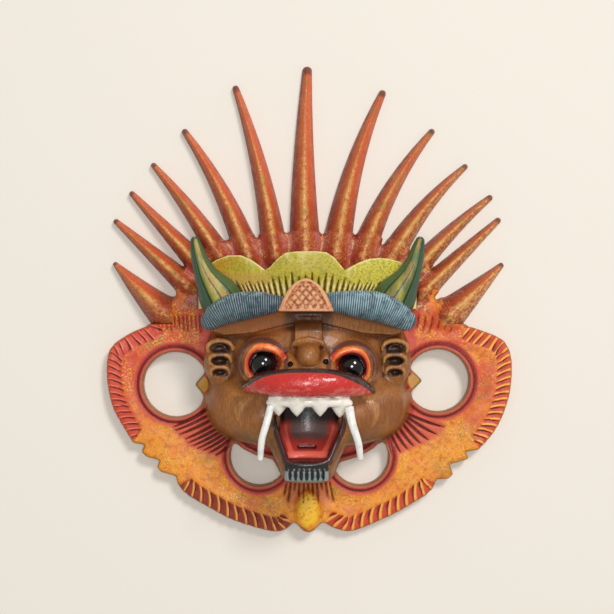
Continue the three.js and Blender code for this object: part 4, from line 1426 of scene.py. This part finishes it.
# %% Lid enamel
# Orange enamel with a red inner edge: a wet-looking ring that makes the eye glow.
materials["lids"] = painted("orange_lid_enamel", "#E97A34", [
    ("#D23C2E", 0.9, ("eye_off", 12.6, 11.4)),
    ("#3A1210", 0.9, ("eye_off", 10.8, 10.2)),
    ("#C83A2E", 0.9, ("eye_off", 14.0, 14.8)),
    ("#F2AC5C", 0.5, ("place_y", -40, -34), ("noise", 0.4, 0.6, 3.0)),
    # painted shade: darker red in the cuts
    ("#8A2018", 0.7, ("groove", 0.2, 0.5)),
], [(0.05, BRUSH)], (0.25, 0.4), 0.2)
print("mixed", materials["lids"].name)

# %% Eye enamel
# Black enamel, polished: nearly a mirror, so that it carries small sharp highlights.
materials["eyes"] = painted("black_eye_enamel", "#08080A", [("#16161A", 0.5, BRUSH)], [], (0.08, 0.14), 0.5)
print("mixed", materials["eyes"].name)

# %% [markdown]
# ## Mouth
# The mouth is where the paint is thickest, in red, white and charcoal. All of it is enamel, a
# little worn on the lip.

# %% Lip enamel
# Red enamel with visible brush ridges and a black line painted above it; pink patches on the lower part are
# a painted highlight, the cuts are painted darker as shade, and the ridges break the highlight up.
materials["lip"] = painted("red_lip_enamel", "#C22C28", [
    # painted highlight: pink patches on the lower part of the lip
    ("#D8786C", 0.5, ("place_y", -60, -64), ("noise", 0.5, 0.62, 4.5, (1.5, 1, 1))),
    ("#1C120E", 0.97, ("lip_off", 0.35, -0.35)),
    ("#D9584A", 0.5, ("place_y", -66, -70), ("noise", 0.4, 0.6, 6.0)),
    # painted shade: darker in the cuts
    ("#A8221E", 0.5, ("groove", 0.05, 0.3)),
], [(0.25, ("noise", 0.3, 0.7, 4.0))], (0.2, 0.36), 0.35)
print("mixed", materials["lip"].name)

# %% Tooth enamel
# Off-white enamel, semi-gloss, with the gaps painted brown as shade.
materials["teeth"] = painted("off_white_tooth_paint", "#ECE9DF", [
    # painted shade: brown in the gaps between the teeth
    ("#8A7A66", 0.7, ("groove", 0.25, 0.7)),
    ("#D9D2C0", 0.5, ("noise", 0.5, 0.65, 4.0)),
], [(0.05, BRUSH)], (0.22, 0.38), 0.3)
print("mixed", materials["teeth"].name)

# %% Throat enamel
# Red enamel that darkens to black under the teeth, so that the hollow looks deeper.
materials["throat"] = painted("red_mouth_paint", "#A8322A", [
    ("#D8604E", 0.85, ("mouth_in", 2.0, 3.2), ("mouth_in", 6.5, 5.0), ("place_y", -88, -94)),
    ("#D8604E", 0.85, ("place_y", -109, -110.5), ("mouth_in", 1.0, 2.0)),
    ("#2A1414", 0.9, ("mouth_in", 1.6, 0.8)),
    ("#5A5250", 0.85, ("place_y", -106, -98), ("mouth_in", 6.5, 9.0)),
    ("#100C0C", 0.97, ("place_y", -93, -86)),
    # painted shade: dark in the cuts
    ("#3A1814", 0.6, ("groove", 0.3, 0.8)),
], [(0.08, BRUSH)], (0.3, 0.45), 0.1)
print("mixed", materials["throat"].name)

# %% Chin paint
# Charcoal paint with blue-grey dragged over the upright strokes.
materials["chin"] = painted("charcoal_chin_paint", "#242122", [
    ("#5E1C18", 0.7, ("mouth_in", -1.2, 0.2)),
    ("#8C9C9E", 0.85, ("place_y", -121.5, -123), ("groove", 0.0, -0.2)),
    # painted shade: dark in the cuts
    ("#0E1212", 0.8, ("groove", 0.15, 0.5)),
], [(0.06, BRUSH)], (0.25, 0.4), 0.15)
print("mixed", materials["chin"].name)

# %% [markdown]
# ## Bare wood
# The back is left as the gouge left it.

# %% Bare wood of the back
# Bare carving wood: matt, streaked along the grain, with shallow tool marks.
materials["back"] = painted("bare_carving_wood", "#B98E5C", [
    ("#8E6438", 0.6, GRAIN),
    ("#7A4E28", 0.5, ("noise", 0.45, 0.65, 30.0)),
], [(0.15, GRAIN), (0.3, ("noise", 0.4, 0.6, 9.0))], (0.6, 0.75))
print("mixed", materials["back"].name)

# %% [markdown]
# The mask stands for the imported solid of the same name, so it rides with it.

# %% Paint the mask
for name in FINISHES:
    mask.data.materials.append(materials[name])
mask.data.polygons.foreach_set("material_index", finish.astype(np.int32))
mask.data.shade_smooth()
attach(mask, "root")
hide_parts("mask")
print(len(materials), "materials on", mask.name)

# %% [markdown]
# ## Tusks
# A tusk is whittled from a slip of wood, sanded and painted white, then let into a hole at the
# corner of the mouth. A tube of rings along a curve keeps its taper and round section exactly,
# with even quads that smooth shading likes; a voxel mesh would be lumpy on something so thin.

# %% Tusk shape
TUSKS = {"left": ([(-25.6, -75.5, 80), (-28.4, -87, 82), (-32, -100, 81), (-33.2, -113.9, 77)],
                  (2.6, 2.7, 2.5, 2.0)),
         "right": ([(28.8, -76.5, 80), (31.2, -88, 82), (35.6, -102, 81), (37.1, -113.2, 77)],
                   (3.5, 3.0, 2.6, 2.1))}
TUSK_RINGS = 40
TUSK_SIDES = 24


def tusk_mesh(name, line, radii):
    """A tapered tube with round ends, each ring square to the curve."""
    places = curve_points(line, TUSK_RINGS)
    sizes = np.interp(np.linspace(0, 1, TUSK_RINGS), np.linspace(0, 1, len(radii)), radii)
    heads = np.gradient(places, axis=0)
    heads /= np.linalg.norm(heads, axis=1)[:, None]
    across = np.cross(heads, [0, 0, 1.0])
    across /= np.linalg.norm(across, axis=1)[:, None]
    up = np.cross(across, heads)
    angle = np.linspace(0, 2 * math.pi, TUSK_SIDES, endpoint=False)
    circle = np.cos(angle)[:, None] * across[:, None] + np.sin(angle)[:, None] * up[:, None]
    ring_of = places[:, None] + circle * sizes[:, None, None]
    points = (ring_of.reshape(-1, 3) + [SHIFT_X, 0, 0]) * MM
    mesh = bpy.data.meshes.new(name)
    faces = []
    for ring in range(TUSK_RINGS - 1):
        for k in range(TUSK_SIDES):
            a, b = ring * TUSK_SIDES + k, ring * TUSK_SIDES + (k + 1) % TUSK_SIDES
            faces.append((a, b, b + TUSK_SIDES, a + TUSK_SIDES))
    last = (TUSK_RINGS - 1) * TUSK_SIDES
    faces.append(tuple(range(TUSK_SIDES - 1, -1, -1)))
    faces.append(tuple(range(last, last + TUSK_SIDES)))
    mesh.from_pydata(points.tolist(), [], faces)
    outward = 0 if line[-1][0] > 0 else math.pi
    turned = np.abs((angle - outward + math.pi) % (2 * math.pi) - math.pi) / math.pi
    for name, values in {"turned": np.tile(turned, TUSK_RINGS),
                         "tusk_along": np.repeat(np.linspace(0, 1, TUSK_RINGS), TUSK_SIDES)}.items():
        mesh.attributes.new(name, "FLOAT", "POINT").data.foreach_set("value", values.astype(np.float32))
    mesh.shade_smooth()
    return mesh


print("tusk of", TUSK_RINGS, "rings")

# %% Tusk paint and fitting
# Smooth off-white enamel with faint cool patches, and one thin dark line along the outer side.
tusk_paint = painted("off_white_tusk_paint", "#ECECE8", [
    ("#C9D3D6", 0.6, ("noise", 0.45, 0.6, 5.0)),
    ("#20343E", 0.9, ("turned", 0.03, 0.06), ("turned", 0.16, 0.13), ("tusk_along", 0.06, 0.12),
     ("tusk_along", 0.72, 0.6)),
], [(0.05, BRUSH)], (0.22, 0.38), 0.3)

for side, (line, radii) in TUSKS.items():
    tusk = add_piece("carved_tusk_" + side, tusk_mesh("carved_tusk_" + side, line, radii))
    tusk.data.materials.append(tusk_paint)
    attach(tusk, "root")
    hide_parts("tusk_" + side)
    print(tusk.name, len(tusk.data.polygons), "faces")

# %% [markdown]
# ## Camera, floor and light
# The mask lies on its back, so the camera looks straight down at it from far off, and a long
# lens keeps the face from bulging. A large soft key and a smaller overhead lamp give the gentle
# shadow of a pale studio; the sky fills the rest.

# %% Camera
camera = bpy.data.objects.new("camera", bpy.data.cameras.new("camera"))
bpy.context.scene.collection.objects.link(camera)
bpy.context.scene.camera = camera
CAMERA_HIGH = 1200.0
CAMERA_VIEW = 460.5   # width seen at the floor
CAMERA_OVER = (-0.375, -6.4)
SENSOR = 36
camera.data.sensor_width = SENSOR
camera.data.lens = SENSOR * CAMERA_HIGH / CAMERA_VIEW
camera.location = ((CAMERA_OVER[0] + SHIFT_X) * MM, CAMERA_OVER[1] * MM, CAMERA_HIGH * MM)
print("lens", round(camera.data.lens, 1), "mm")

# %% Floor
HALF_FLOOR = 3        # metres
floor_corners = [(x * HALF_FLOOR, y * HALF_FLOOR, 0) for x, y in ((-1, -1), (1, -1), (1, 1), (-1, 1))]
floor_mesh = bpy.data.meshes.new("floor")
floor_mesh.from_pydata(floor_corners, [], [(0, 1, 2, 3)])
floor = add_piece("floor", floor_mesh)
paper = bpy.data.materials.new("paper")
paper.use_nodes = True
paper.node_tree.nodes["Principled BSDF"].inputs["Base Color"].default_value = to_linear("#E7E2DA")
paper.node_tree.nodes["Principled BSDF"].inputs["Roughness"].default_value = 0.8
floor_mesh.materials.append(paper)
print("floor", 2 * HALF_FLOOR, "m square")


# %% Lights
def add_light(name, place, aim, size, power, colour):
    light = bpy.data.lights.new(name, "AREA")
    light.shape = "DISK"
    light.size = size
    light.energy = power
    light.color = to_linear(colour)[:3]
    lamp = bpy.data.objects.new(name, light)
    lamp.location = place
    lamp.rotation_euler = (Vector(aim) - Vector(place)).to_track_quat("-Z", "Y").to_euler()
    bpy.context.scene.collection.objects.link(lamp)


add_light("key", (1.3, 1.7, 2.6), (0, 0, 0.03), 0.9, 58, "#FFFBF7")
add_light("overhead", (0, 0, 1.9), (0, 0, 0), 0.5, 13, "#FFFEFC")
bpy.context.scene.view_settings.view_transform = "Standard"
world = bpy.context.scene.world or bpy.data.worlds.new("studio")
bpy.context.scene.world = world
world.use_nodes = True
world.node_tree.nodes["Background"].inputs["Color"].default_value = to_linear("#F4F1EA")
world.node_tree.nodes["Background"].inputs["Strength"].default_value = 0.4
